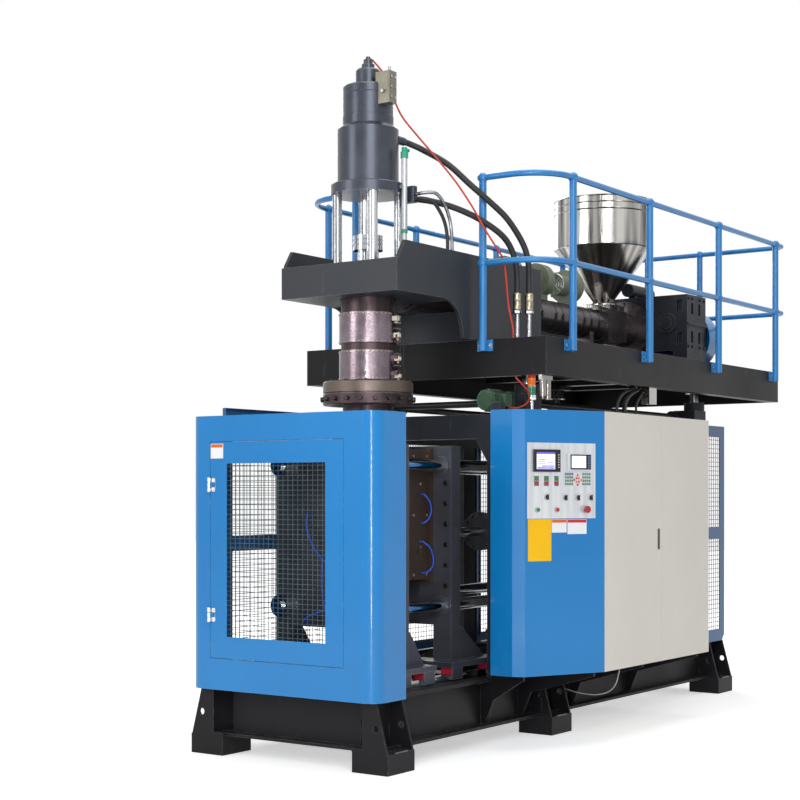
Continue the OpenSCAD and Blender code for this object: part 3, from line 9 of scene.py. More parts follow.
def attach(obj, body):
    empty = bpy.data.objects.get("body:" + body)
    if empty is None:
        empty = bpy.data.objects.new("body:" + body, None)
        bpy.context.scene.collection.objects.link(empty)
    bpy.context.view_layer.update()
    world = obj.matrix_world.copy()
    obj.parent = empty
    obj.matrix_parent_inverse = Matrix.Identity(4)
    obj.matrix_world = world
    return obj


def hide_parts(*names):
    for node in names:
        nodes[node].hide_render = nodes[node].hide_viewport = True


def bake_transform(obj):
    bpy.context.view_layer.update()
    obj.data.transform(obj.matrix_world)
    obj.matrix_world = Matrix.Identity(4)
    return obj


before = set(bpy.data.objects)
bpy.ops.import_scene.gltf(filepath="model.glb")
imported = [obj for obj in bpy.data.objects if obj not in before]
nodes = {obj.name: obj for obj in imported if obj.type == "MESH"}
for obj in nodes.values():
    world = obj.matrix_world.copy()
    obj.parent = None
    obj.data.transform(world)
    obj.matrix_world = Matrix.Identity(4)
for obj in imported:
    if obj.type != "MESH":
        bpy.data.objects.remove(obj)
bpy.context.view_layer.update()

random.seed(7)
print("frame loaded:", len(nodes), "nodes")


def mm(*values):
    return Vector([value / 1000 for value in values])


def wayAt(angle):
    # the level direction at an angle in degrees
    return Vector((math.cos(math.radians(angle)), math.sin(math.radians(angle)), 0))


headAxis = -1513     # x of the extrusion head's upright axis, in mm


# the camera: level, at eye height, off the front left corner
cameraLook = {"place": (-9.323, -5.748, 1.545), "ahead": (0.8171, 0.5764, 0.0), "lens": 71.4,
              "rise": 0.116}
cameraData = bpy.data.cameras.new("photoCamera")
cameraData.lens = cameraLook["lens"]
cameraData.shift_y = cameraLook["rise"]
cameraData.clip_end = 200
camera = bpy.data.objects.new("photoCamera", cameraData)
bpy.context.scene.collection.objects.link(camera)
camera.location = cameraLook["place"]
camera.rotation_mode = "QUATERNION"
camera.rotation_quaternion = Vector(cameraLook["ahead"]).to_track_quat("-Z", "Y")
bpy.context.scene.camera = camera


# hoses and cables: radius in mm, body, finish, stiffness, and route in mm.
# A cord on the lift runs from the base to the platform.
cordLooks = {
    "hoseUp": (19, "platform", "hose_rubber", "stiff", [
        (-1350, -150, 3700), (-1300, -160, 3695), (-1245, -223, 3659), (-1180, -362, 3566),
        (-1101, -476, 3441), (-1001, -556, 3341), (-915, -616, 3255), (-838, -655, 3158), (-790, -685, 3060),
        (-775, -700, 2960), (-770, -700, 2870), (-770, -700, 2775)]),
    "hoseLow": (19, "platform", "hose_rubber", "stiff", [
        (-1395, -262, 3330), (-1340, -266, 3334), (-1285, -310, 3328), (-1215, -385, 3305),
        (-1133, -461, 3268), (-1043, -531, 3218), (-943, -601, 3143), (-868, -626, 3067), (-835, -645, 2960),
        (-830, -650, 2870), (-830, -650, 2775)]),
    "loopNear": (11, "platform", "hose_rubber", "stiff", [
        (-1438, -295.3, 3318), (-1438, -320, 3318), (-1438, -345, 3320), (-1390, -390, 3305),
        (-1330, -408, 3245), (-1290, -416, 3180), (-1272, -421, 3100), (-1270, -422, 3025.5)]),
    "loopFar": (11, "platform", "braidGrey", "stiff", [
        (-1425, -295.3, 3352), (-1425, -320, 3352), (-1425, -345, 3354), (-1370, -400, 3355),
        (-1300, -415, 3300), (-1245, -420, 3210), (-1225, -422, 3110), (-1222, -422, 3025.5)]),
    "signalCable": (6, "platform", "cable_red", "limp", [
        (-1498.6, 0, 4199), (-1485, 0, 4199), (-1468, -4, 4195), (-1425, -45, 4130), (-1372, -75, 4050),
        (-1362, -92, 3960), (-1345, -135, 3860), (-1325, -205, 3765), (-1275, -325, 3610),
        (-1205, -430, 3455), (-1135, -510, 3300), (-1075, -560, 3170), (-1003, -597, 3065),
        (-944, -618, 2985), (-932, -632, 2860), (-926, -645, 2700), (-915, -670, 2560),
        (-915, -670, 2500.3)]),
    "backAirA": (6, "clamp_left", "hoseBlue", "limp", [
        (-1837, 180, 1420), (-1880, 178, 1416), (-1905, 165, 1330), (-1900, 125, 1230), (-1905, 60, 1160),
        (-1910, 0, 1110), (-1900, -30, 1040), (-1890, -20, 960), (-1880, 0, 900), (-1837, 10, 890)]),
    "backAirB": (6, "clamp_left", "hoseBlue", "limp", [
        (-1837, 68, 1160), (-1870, 68, 1158), (-1885, 68, 1080), (-1886, 66, 980), (-1890, 45, 880),
        (-1892, 15, 800), (-1880, 0, 760), (-1837, -5, 765)]),
    "backAirC": (6, "clamp_left", "hoseBlue", "limp", [
        (-1837, 210, 760), (-1890, 205, 765), (-1925, 150, 800), (-1930, 80, 830), (-1925, 10, 850),
        (-1905, -55, 900), (-1890, -80, 980), (-1837, -80, 1000)]),
    "mouldAirA": (5, "clamp_right", "hoseBlue", "limp", [
        (-1405, -318, 1535), (-1405, -345, 1532), (-1385, -368, 1490), (-1375, -372, 1440),
        (-1385, -365, 1395), (-1405, -345, 1365), (-1408, -318, 1362)]),
    "mouldAirB": (5, "clamp_right", "hoseBlue", "limp", [
        (-1420, -318, 1250), (-1420, -345, 1248), (-1395, -375, 1215), (-1375, -385, 1160),
        (-1372, -380, 1100), (-1390, -350, 1065), (-1400, -318, 1062)]),
    "greyWire": (4, "base", "wirePale", "limp", [
        (-100, -985, 444.5), (-100, -985, 420), (-108, -980, 370), (-104, -955, 300), (-92, -900, 250),
        (-90, -820, 225), (-90, -730, 222), (-90, -640, 232), (-90, -560, 250)]),
    "liftCable": (6, "lift", "cable_red", "limp", [
        (-925, -700, 2264), (-925, -702, 2250), (-905, -735, 2210), (-862, -755, 2160), (-845, -735, 2105),
        (-865, -690, 2075), (-880, -640, 2072), (-868, -600, 2090), (-860, -578, 2120)]),
    "topHoseA": (11, "lift", "hose_rubber", "stiff", [
        (60, -880, 2070), (60, -880, 2095), (90, -875, 2150), (170, -865, 2200), (290, -850, 2235),
        (420, -830, 2262), (470, -815, 2290), (480, -810, 2390)]),
    "topHoseB": (11, "lift", "hose_rubber", "stiff", [
        (130, -905, 2070), (130, -905, 2095), (155, -898, 2140), (225, -885, 2185), (330, -868, 2220),
        (440, -850, 2250), (500, -828, 2285), (515, -815, 2390)]),
    "topHoseC": (11, "lift", "hose_rubber", "stiff", [
        (200, -860, 2070), (200, -860, 2095), (220, -850, 2140), (285, -835, 2180), (370, -815, 2215),
        (440, -795, 2245), (475, -780, 2285), (485, -775, 2390)]),
    "topHoseD": (8, "lift", "hose_rubber", "stiff", [
        (300, -900, 2070), (300, -900, 2095), (315, -895, 2135), (370, -885, 2175), (440, -870, 2210),
        (500, -850, 2240), (545, -820, 2285), (550, -810, 2390)]),
}


def smoothRoute(route, steps):
    # a curve through every point of a route, as points close together
    spots = [Vector(spot) for spot in route]
    last = len(spots) - 1
    made = []
    for i in range(last):
        a, b, c, d = spots[max(i - 1, 0)], spots[i], spots[i + 1], spots[min(i + 2, last)]
        for k in range(steps):
            t = k / steps
            made.append(0.5 * (2 * b + (c - a) * t + (2 * a - 5 * b + 4 * c - d) * t * t
                               + (3 * b - a - 3 * c + d) * t * t * t))
    return [mm(*spot) for spot in [*made, spots[last]]]


def makeTube(name, points, radius):
    curve = bpy.data.curves.new(name, "CURVE")
    curve.dimensions = "3D"
    curve.bevel_depth = radius / 1000
    curve.bevel_resolution = 3
    curve.use_fill_caps = True
    line = curve.splines.new("POLY")
    line.points.add(len(points) - 1)
    for spot, point in zip(points, line.points):
        point.co = (*spot, 1.0)
    line.use_smooth = True
    drawn = bpy.data.objects.new(name + "Line", curve)
    tube = bpy.data.objects.new(name, bpy.data.meshes.new_from_object(drawn))
    bpy.data.objects.remove(drawn)
    bpy.context.scene.collection.objects.link(tube)
    return tube


cords = {}
for cordName, (radius, body, finish, stiffness, route) in cordLooks.items():
    spots = smoothRoute(route, 8)
    cord = cords[cordName] = makeTube(cordName, spots, radius)
    if body == "lift":
        low, high = sorted(spot.z for spot in (spots[0], spots[-1]))
        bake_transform(cord)
    else:
        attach(cord, body)
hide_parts("signal_cable")
print("cords:", len(cords))


# small helpers for shader trees
def feed(tree, node, values):
    # each socket gets a link or a fixed value
    for key, value in values.items():
        if isinstance(value, bpy.types.NodeSocket):
            tree.links.new(value, node.inputs[key])
        else:
            node.inputs[key].default_value = value
    return node


def addNode(tree, kind, inputs=None, **settings):
    node = tree.nodes.new(kind)
    for key, value in settings.items():
        setattr(node, key, value)
    return feed(tree, node, inputs or {})


def calc(tree, operation, first, second=0.0, clamp=False):
    return addNode(tree, "ShaderNodeMath", {0: first, 1: second}, operation=operation,
                   use_clamp=clamp).outputs[0]


def ramp(tree, value, fromLow, fromHigh, toLow=0.0, toHigh=1.0):
    return addNode(tree, "ShaderNodeMapRange", {"Value": value, "From Min": fromLow, "From Max": fromHigh,
                                                "To Min": toLow, "To Max": toHigh}).outputs[0]


def mixTone(tree, factor, first, second):
    node = addNode(tree, "ShaderNodeMix", data_type="RGBA")
    return feed(tree, node, {0: factor, 6: first, 7: second}).outputs[2]


def objectPlace(tree):
    return addNode(tree, "ShaderNodeTexCoord").outputs["Object"]


def noise(tree, place, scale, detail, roughness=0.5, distortion=0.0):
    return addNode(tree, "ShaderNodeTexNoise", {"Vector": place, "Scale": scale, "Detail": detail,
                                                "Roughness": roughness, "Distortion": distortion}).outputs[0]


def tone(code):
    # a six figure colour as it looks on screen, made linear
    parts = [int(code[i:i + 2], 16) / 255 for i in (0, 2, 4)]
    return (*[p / 12.92 if p <= 0.04045 else ((p + 0.055) / 1.055) ** 2.4 for p in parts], 1.0)


# shared shader groups
def startGroup(name, inputs, outputs):
    group = bpy.data.node_groups.new(name, "ShaderNodeTree")
    for label, value in inputs.items():
        kind = "NodeSocketVector" if isinstance(value, tuple) else "NodeSocketFloat"
        socket = group.interface.new_socket(name=label, in_out="INPUT", socket_type=kind)
        socket.default_value = value
    for label in outputs:
        group.interface.new_socket(name=label, in_out="OUTPUT", socket_type="NodeSocketFloat")
    return group, group.nodes.new("NodeGroupInput").outputs, group.nodes.new("NodeGroupOutput")


def makePaintFilm():
    # broad patches of tone, fine peel of sprayed paint and thin scratches
    group, given, out = startGroup("paintFilm", {"Patch Scale": 1.5, "Peel Scale": 160.0,
                                                 "Scratch Scale": 14.0}, ["Tone", "Peel", "Scratch"])
    place = objectPlace(group)
    stretched = addNode(group, "ShaderNodeMapping", {"Vector": place, "Scale": (1.0, 1.0, 0.12),
                                                     "Rotation": (0.3, 0.1, 0.0)}).outputs[0]
    broad = noise(group, place, given["Patch Scale"], 5.0, 0.6)
    lines = noise(group, stretched, given["Scratch Scale"], 8.0, 0.75)
    feed(group, out, {"Tone": ramp(group, broad, 0.32, 0.68), "Scratch": ramp(group, lines, 0.64, 0.7),
                      "Peel": noise(group, place, given["Peel Scale"], 2.0)})
    return group


def makeEdgeWear():
    # paint rubbed thin along the edges of a piece
    group, given, out = startGroup("edgeWear", {"Radius": 0.006, "Breakup": 22.0, "Reach": 0.5}, ["Mask"])
    soft = addNode(group, "ShaderNodeBevel", {"Radius": given["Radius"]}, samples=4).outputs[0]
    true = addNode(group, "ShaderNodeNewGeometry").outputs["Normal"]
    match = addNode(group, "ShaderNodeVectorMath", {0: soft, 1: true},
                    operation="DOT_PRODUCT").outputs["Value"]
    edge = ramp(group, calc(group, "SUBTRACT", 1.0, match), 0.01, 0.22)
    chips = noise(group, objectPlace(group), given["Breakup"], 6.0, 0.7)
    worn = calc(group, "ADD", calc(group, "MULTIPLY", edge, given["Reach"]),
                ramp(group, chips, 0.35, 0.7, -0.45, 0.35))
    feed(group, out, {"Mask": calc(group, "MULTIPLY", ramp(group, worn, 0.12, 0.5), edge)})
    return group


def makeDustFall():
    # dust that has settled on faces that look up
    group, given, out = startGroup("dustFall", {"Cover": 0.5, "Grain": 9.0}, ["Mask"])
    speck = noise(group, objectPlace(group), given["Grain"], 7.0, 0.65)
    normal = addNode(group, "ShaderNodeNewGeometry").outputs["Normal"]
    upward = addNode(group, "ShaderNodeSeparateXYZ", {0: normal}).outputs[2]
    lying = calc(group, "MULTIPLY", ramp(group, upward, 0.35, 0.95), ramp(group, speck, 0.35, 0.75))
    feed(group, out, {"Mask": calc(group, "MULTIPLY", lying, given["Cover"])})
    return group


def makeDrawnLines():
    # grinding and polishing lines, drawn out along the axis that has the small stretch
    group, given, out = startGroup("drawnLines", {"Stretch": (1.0, 1.0, 1.0), "Scale": 60.0},
                                   ["Tone", "Line"])
    pulled = addNode(group, "ShaderNodeMapping", {"Vector": objectPlace(group),
                                                  "Scale": given["Stretch"]}).outputs[0]
    broad = noise(group, pulled, calc(group, "MULTIPLY", given["Scale"], 0.12), 3.0)
    feed(group, out, {"Tone": ramp(group, broad, 0.3, 0.7),
                      "Line": noise(group, pulled, given["Scale"], 4.0, 0.7)})
    return group


def makeAxisSheenStripes():
    # upright stripes round a vertical axis: painted streaks of reflection and sheen
    group, given, out = startGroup("axisSheenStripes", {"Axis X": 0.0, "Axis Y": 0.0, "Count": 3.0},
                                   ["Tone", "Line"])
    parts = addNode(group, "ShaderNodeSeparateXYZ", {0: objectPlace(group)}).outputs
    acrossX = calc(group, "SUBTRACT", parts[0], given["Axis X"])
    acrossY = calc(group, "SUBTRACT", parts[1], given["Axis Y"])
    far = calc(group, "SQRT", calc(group, "ADD", calc(group, "MULTIPLY", acrossX, acrossX),
                                  calc(group, "MULTIPLY", acrossY, acrossY)))
    spot = addNode(group, "ShaderNodeCombineXYZ", {0: calc(group, "DIVIDE", acrossX, far),
                                                   1: calc(group, "DIVIDE", acrossY, far),
                                                   2: calc(group, "MULTIPLY", parts[2], 0.12)}).outputs[0]
    broad = noise(group, spot, given["Count"], 2.0, 0.55, 0.3)
    feed(group, out, {"Tone": ramp(group, broad, 0.36, 0.64),
                      "Line": noise(group, spot, calc(group, "MULTIPLY", given["Count"], 14.0), 3.0)})
    return group


groups = {"paintFilm": makePaintFilm(), "edgeWear": makeEdgeWear(), "dustFall": makeDustFall(),
          "drawnLines": makeDrawnLines(), "axisSheenStripes": makeAxisSheenStripes()}
print("shader groups:", len(groups))


def placeGroup(tree, name, values):
    node = addNode(tree, "ShaderNodeGroup", node_tree=groups[name])
    return feed(tree, node, values).outputs


def startMaterial(name, tones=""):
    # a new material with its tree and shader, and the tones that it is mixed from
    material = bpy.data.materials.new(name)
    material.use_nodes = True
    tree = material.node_tree
    return material, tree, tree.nodes["Principled BSDF"], [tone(code) for code in tones.split()]


def bumped(tree, height, depth):
    return addNode(tree, "ShaderNodeBump", {"Height": height, "Distance": depth, "Strength": 1.0}).outputs[0]


paintDefaults = {"dustTone": "8f8b84", "rough": (0.32, 0.5), "coat": 0.0, "patch": 1.3, "peel": 150.0,
                 "peelDepth": 0.0006, "wear": 0.5, "wearRadius": 0.006, "dust": 0.3, "scratch": 0.25,
                 "metal": 0.0, "shine": 0.35}
metalDefaults = {"rough": (0.12, 0.3), "stretch": (1.0, 1.0, 1.0), "lines": 60.0, "lineDepth": 0.0003,
                 "stain": "3c3630", "stainAmount": 0.25, "metal": 1.0, "patch": 3.0}


def paint(name, tones, **look):
    # sprayed paint or moulded plastic: two tones, worn edges, dust on top and a fine peel
    look = {**paintDefaults, **look}
    material, tree, shader, (base, deep, worn) = startMaterial(name, tones)
    film = placeGroup(tree, "paintFilm", {"Patch Scale": look["patch"], "Peel Scale": look["peel"]})
    body = mixTone(tree, film["Tone"], deep, base)
    body = mixTone(tree, calc(tree, "MULTIPLY", film["Scratch"], look["scratch"]), body, worn)
    if look["wear"] > 0:
        edge = placeGroup(tree, "edgeWear", {"Radius": look["wearRadius"], "Reach": look["wear"]})
        body = mixTone(tree, edge["Mask"], body, worn)
    dust = placeGroup(tree, "dustFall", {"Cover": look["dust"]})
    gloss = ramp(tree, film["Tone"], 0.0, 1.0, *look["rough"])
    feed(tree, shader, {
        "Base Color": mixTone(tree, dust["Mask"], body, tone(look["dustTone"])),
        "Roughness": calc(tree, "ADD", gloss, calc(tree, "MULTIPLY", dust["Mask"], 0.4), clamp=True),
        "Metallic": look["metal"], "Coat Weight": look["coat"], "Specular IOR Level": look["shine"],
        "Normal": bumped(tree, film["Peel"], look["peelDepth"])})
    return material


def metal(name, tones, **look):
    # bare metal: drawn lines along one axis, oil film in patches, dull edges
    look = {**metalDefaults, **look}
    material, tree, shader, (base, deep) = startMaterial(name, tones)
    drawn = placeGroup(tree, "drawnLines", {"Stretch": look["stretch"], "Scale": look["lines"]})
    film = placeGroup(tree, "paintFilm", {"Patch Scale": look["patch"], "Peel Scale": 90.0})
    body = mixTone(tree, drawn["Tone"], deep, base)
    stained = calc(tree, "MULTIPLY", film["Tone"], look["stainAmount"])
    gloss = calc(tree, "MULTIPLY", drawn["Line"], film["Tone"])
    feed(tree, shader, {"Base Color": mixTone(tree, stained, body, tone(look["stain"])),
                        "Roughness": ramp(tree, gloss, 0.1, 0.6, *look["rough"]), "Metallic": look["metal"],
                        "Normal": bumped(tree, drawn["Line"], look["lineDepth"])})
    return material


def reflectionStripedSteel(name, tones, **look):
    # rolled sheet or turned bar with bright and dark upright stripes of painted reflection
    material, tree, shader, (base, deep) = startMaterial(name, tones)
    sheenStripes = placeGroup(tree, "axisSheenStripes", {"Axis X": look["axis"][0], "Axis Y": look["axis"][1],
                                            "Count": look["count"]})
    film = placeGroup(tree, "paintFilm", {"Patch Scale": 4.0, "Peel Scale": 40.0})
    feed(tree, shader, {"Base Color": mixTone(tree, sheenStripes["Tone"], deep, base), "Metallic": 1.0,
                        "Roughness": ramp(tree, film["Tone"], 0.0, 1.0, *look["rough"]),
                        "Normal": bumped(tree, sheenStripes["Line"], 0.0006)})
    return material


def heatStained(name, tones, **look):
    # steel that runs hot: brown, purple and blue patches under a thin scale, crossed by upright stripes of
    # painted sheen
    material, tree, shader, (base, deep, worn, sheenTone) = startMaterial(name, tones)
    film = placeGroup(tree, "paintFilm", {"Patch Scale": look["patch"], "Peel Scale": 70.0})
    edge = placeGroup(tree, "edgeWear", {"Radius": 0.006, "Reach": look["wear"]})
    sheenStripes = placeGroup(tree, "axisSheenStripes", {"Axis X": headAxis / 1000, "Axis Y": 0.0, "Count": 2.2})
    body = mixTone(tree, film["Tone"], deep, base)
    # purple-grey upright stripes round the head's axis: painted sheen over the heat-tint patches
    body = mixTone(tree, calc(tree, "MULTIPLY", sheenStripes["Tone"], 0.55), body, sheenTone)
    body = mixTone(tree, edge["Mask"], body, worn)
    gloss = ramp(tree, film["Tone"], 0.0, 1.0, *look["rough"])
    if "chromeFrom" in look:       # hard chrome columns over the hot part, and a paler ring
        height = addNode(tree, "ShaderNodeSeparateXYZ", {0: objectPlace(tree)}).outputs[2]
        ring = calc(tree, "MULTIPLY", calc(tree, "GREATER_THAN", height, look["pale"][0]),
                    calc(tree, "LESS_THAN", height, look["pale"][1]))
        body = mixTone(tree, calc(tree, "MULTIPLY", ring, 0.6), body, tone(look["paleTone"]))
        plated = calc(tree, "GREATER_THAN", height, look["chromeFrom"])
        # the chrome columns' dark and bright upright streaks are painted reflections
        drawn = placeGroup(tree, "drawnLines", {"Stretch": (1.0, 1.0, 0.02), "Scale": 34.0})
        chrome = mixTone(tree, drawn["Tone"], *[tone(code) for code in look["chromeTones"].split()])
        body = mixTone(tree, plated, body, chrome)
        gloss = calc(tree, "SUBTRACT", gloss, calc(tree, "MULTIPLY", plated, look["rough"][0] * 0.7))
    feed(tree, shader, {"Base Color": body, "Roughness": gloss, "Metallic": look["metal"],
                        "Normal": bumped(tree, film["Peel"], 0.0008)})
    return material


def glowing(name, tones, **look):
    # a lens or a lit glass: faint inner pattern, glossy outside
    material, tree, shader, (base, deep) = startMaterial(name, tones)
    film = placeGroup(tree, "paintFilm", {"Patch Scale": look.get("patch", 20.0), "Peel Scale": 200.0})
    body = mixTone(tree, film["Tone"], deep, base)
    feed(tree, shader, {"Base Color": body, "Emission Color": body, "Emission Strength": look["glow"],
                        "Roughness": ramp(tree, film["Tone"], 0.0, 1.0, 0.12, 0.25),
                        "Normal": bumped(tree, film["Peel"], 0.0002)})
    return material


# what the small plastic parts and the cords share
plateFilm = {"rough": (0.3, 0.4), "dust": 0.08, "wear": 0.25, "wearRadius": 0.002}
keyFilm = {"rough": (0.35, 0.5), "dust": 0.08, "wear": 0.2, "wearRadius": 0.002}
capFilm = {"rough": (0.2, 0.3), "coat": 0.4, "dust": 0.1, "wear": 0.2, "wearRadius": 0.002}
cordFilm = {"dust": 0.1, "wear": 0.0}

# the finishes: base, deep, worn and painted sheen tones as six figure colours, then what differs from the
# usual
finishes = {
    "frame_black": paint("frameBlack", "1c1a1d 131214 5e5e62", rough=(0.34, 0.55), shine=0.16, dust=0.12,
        wear=0.45, patch=1.1),
    "rail_steel": metal("railSteel", "a9abad 6f7275", stretch=(0.05, 1.0, 1.0)),
    "portal_grey": paint("portalGrey", "2d3036 23262b 787b80", shine=0.2, rough=(0.36, 0.55), dust=0.15,
        patch=0.9),
    "panel_blue": paint("panelBlue", "137cc0 0f72b3 7fb2dc", shine=0.25, rough=(0.17, 0.26), coat=0.3,
        dust=0.05, wear=0.28, wearRadius=0.004, patch=0.5, scratch=0.04, peelDepth=0.0003, dustTone="9fb4c4"),
    "mesh_blue": paint("guardBlue", "2c5f92 244f7c 7f9db8", rough=(0.3, 0.45), coat=0.15, dust=0.2, wear=0.4,
        scratch=0.1, dustTone="8b98a3"),
    "panel_white": paint("cabinetWhite", "dedad2 d3cfc7 a9a39a", rough=(0.42, 0.52), dust=0.15, wear=0.2,
        wearRadius=0.003, patch=0.6, peel=420.0, scratch=0.05, dustTone="b5aea2"),
    "plate_silver": metal("plateSilver", "d8dbde c3c7cb", rough=(0.3, 0.42), stretch=(1.0, 1.0, 0.04),
        lines=240.0, stainAmount=0.05, metal=0.55),
    "screen_black": paint("screenBlack", "1e1f22 141518 56585c", rough=(0.25, 0.38), dust=0.1, wear=0.3,
        wearRadius=0.002, scratch=0.05),
    "controller_grey": paint("controllerGrey", "d3d7da c4c9cd 8a8f94", rough=(0.35, 0.5), dust=0.1, wear=0.2,
        wearRadius=0.002, scratch=0.05),
    "notice_colour": paint("plateYellow", "f0bc06 e6ae02 b98d12", rough=(0.3, 0.4), dust=0.08, wear=0.3,
        wearRadius=0.002, scratch=0.06),
    "green_cap": paint("capGreen", "1f8a4e 17713f 5fae82", **capFilm),
    "red_cap": paint("capRed", "b3242c 931b22 cf6a6f", **capFilm),
    "black_plastic": paint("plasticBlack", "232325 19191b 55565a", rough=(0.35, 0.5), dust=0.15, wear=0.3,
        wearRadius=0.002),
    "motor_green": paint("motorGreen", "3a5a41 2b4432 7d8f80", rough=(0.4, 0.6), dust=0.5, wear=0.6,
        patch=6.0),
    "lamp_red": glowing("lensRed", "e0301c b51a10", glow=0.35),
    "platen_grey": paint("platenGrey", "4b4d55 3a3b43 7d7e83", rough=(0.3, 0.5), metal=0.35, dust=0.15,
        wear=0.7, patch=2.5, scratch=0.5),
    "mould_steel": metal("mouldSteel", "6f5c50 4a3c34", rough=(0.35, 0.6), stain="2a221d", stainAmount=0.5,
        lines=26.0, stretch=(1.0, 1.0, 0.3), metal=0.7),
    "bright_steel": metal("hardChrome", "dfe2e5 aeb2b7", rough=(0.06, 0.16), stain="8a8780", stainAmount=0.15,
        lines=40.0),
    "cylinder_black": paint("cylinderBlack", "2a2b2f 1f2024 6f7176", rough=(0.3, 0.45), dust=0.12, wear=0.6),
    "railing_blue": paint("railingBlue", "2a7fc0 2373b2 9cc3e3", rough=(0.25, 0.38), coat=0.2, dust=0.15,
        wear=0.35, wearRadius=0.003, dustTone="a5b6c4", scratch=0.08),
    "head_bronze": heatStained("headHeatStained", "3c3030 211a1a 9c8a84 5f4e54", rough=(0.3, 0.5), metal=0.75,
        patch=7.0, wear=0.6, chromeFrom=2.917, pale=(2.15, 2.225), paleTone="766b62",
        chromeTones="4d5054 c9cccf"),
    "band_steel": heatStained("bandHeatTint", "7d7078 5c5058 b39c8c 93868c", rough=(0.14, 0.3), metal=0.95,
        patch=9.0, wear=0.5),
    "housing_grey": paint("housingGrey", "464a55 383c46 8b8e96", rough=(0.26, 0.4), metal=0.55, coat=0.1,
        dust=0.2, wear=0.4, patch=3.0, scratch=0.15),
    # the hopper's bright and near-black upright stripes are painted reflections
    "stainless": reflectionStripedSteel("hopperStainless", "c9c6c2 241f1d", axis=(1.53, 0.0), count=2.6,
        rough=(0.08, 0.18)),
    "gear_grey": paint("gearGrey", "23262f 191b22 6e737f", shine=0.25, rough=(0.35, 0.55), dust=0.15,
        wear=0.6, patch=4.0),
    "blower_green": paint("blowerGreen", "727a68 5d6655 9a9f91", rough=(0.4, 0.6), dust=0.5, wear=0.6,
        patch=6.0),
    "hose_rubber": paint("hoseRubber", "2a2a2c 1d1d1f 4e4e52", rough=(0.4, 0.6), dust=0.25, wear=0.0,
        peel=260.0, peelDepth=0.0015),
    "cable_red": paint("cableRed", "c8402c ab3222 d98a7c", rough=(0.35, 0.5), dust=0.15, wear=0.0),
    "braidGrey": metal("braidGrey", "9a9da2 5f6267", rough=(0.3, 0.5), lines=220.0),
    "hoseBlue": paint("airHoseBlue", "1c55c9 1443a8 6d92dd", rough=(0.25, 0.4), **cordFilm),
    "wirePale": paint("wirePale", "c9ccce a9adb1 8d8f92", rough=(0.35, 0.5), **cordFilm),
    "meshWire": metal("meshWire", "566a70 3a4c52", rough=(0.35, 0.5), metal=0.4, lines=90.0, stainAmount=0.2),
    "chrome": metal("chrome", "e6e8ea c2c6ca", rough=(0.08, 0.18), stainAmount=0.08),
    "zinc": metal("zincPlate", "b9bcbf 8d9195", rough=(0.22, 0.4), stainAmount=0.2),
    "boltBlack": metal("boltBlack", "3b3b3e 232325", rough=(0.3, 0.45), metal=0.8, stainAmount=0.3),
    "brass": metal("brass", "b9b09a 8b8270", rough=(0.22, 0.36), stain="6a5a38", stainAmount=0.35,
        lines=120.0),
    "ceramic": paint("ceramicCream", "e4dfcf cfc8b4 a59d88", rough=(0.4, 0.6), dust=0.15, wear=0.3,
        wearRadius=0.003, peel=300.0),
    "weldBead": metal("weldBead", "8f9196 4a4a4e", rough=(0.3, 0.5), metal=0.8, stainAmount=0.4),
    "sealRed": paint("sealRed", "a82338 8a1a2d c86a74", rough=(0.3, 0.45), dust=0.25, wear=0.3,
        wearRadius=0.002),
    "capSeaGreen": paint("capSeaGreen", "1f9a72 17805d 70bfa5", rough=(0.25, 0.35), dust=0.1, wear=0.2,
        wearRadius=0.002),
    "plateWhite": paint("plateWhite", "e9eaec dcdee1 a9adb3", **plateFilm),
    "bandOrange": paint("bandOrange", "dd6a1c cc5d16 e79a63", **plateFilm),
    "bandRed": paint("bandRed", "cf2430 bb1d29 df6a72", **plateFilm),
    "screenLilac": glowing("screenLilac", "eeeaff dcd5fb", glow=0.55, patch=40.0),
    "screenViolet": glowing("screenViolet", "6b5fd0 5b4fc0", glow=0.5, patch=40.0),
    "screenWhite": glowing("screenWhite", "f7f9fa eceff1", glow=0.6, patch=30.0),
    "lensOrange": glowing("lensOrange", "f0791f cf5f12", glow=0.45),
    "lensGreen": glowing("lensGreen", "2f9c78 1f7a5c", glow=0.12),
    "lensHot": glowing("lensHot", "fff2d8 ffd9a0", glow=1.6),
    "keyGreen": paint("keyGreen", "6f8f7c 5c7a69 9fb3a7", **keyFilm),
    "keyBlue": paint("keyBlue", "5d7896 4b6582 93a7bd", **keyFilm),
    "headFrameGrey": paint("headFrameGrey", "2a2e34 1f2227 7c8086", shine=0.3, rough=(0.34, 0.5), dust=0.15,
        patch=0.9),
    "deckBlack": paint("deckBlack", "1b1b1d 131315 66676b", shine=0.16, rough=(0.36, 0.55), dust=0.2,
        patch=0.8),
    "barrelDark": metal("barrelDark", "6e666a 3c373a", rough=(0.24, 0.4), metal=0.8, stretch=(0.04, 1.0, 1.0),
        stainAmount=0.3),
    "plateBeige": metal("plateBeige", "8a8676 6a6759", rough=(0.3, 0.5), metal=0.6, stretch=(1.0, 1.0, 0.1),
        stainAmount=0.4),
    "sensorTube": metal("sensorTube", "c9ccd0 a3a7ab", rough=(0.3, 0.42), metal=0.5, stretch=(1.0, 1.0, 0.05),
        stainAmount=0.1),
}
for cordName, (radius, body, finish, stiffness, route) in cordLooks.items():
    cords[cordName].data.materials.clear()
    cords[cordName].data.materials.append(finishes[finish])

# every node takes the finish of its slot, or one of its own
ownFinish = {"head_frame": "headFrameGrey", "position_sensor": "sensorTube", "platform_deck": "deckBlack",
             "extruder_barrel": "barrelDark"}
for node in nodes.values():
    slotName = node.material_slots[0].material.name.split(".")[0]
    node.material_slots[0].material = finishes[ownFinish.get(node.name, slotName)]
print("finishes:", len(finishes))


# mesh builders: sizes in mm, tint is the number of the material in the piece's list
def tintFaces(verts, tint):
    for face in {face for vert in verts for face in vert.link_faces}:
        face.material_index = tint


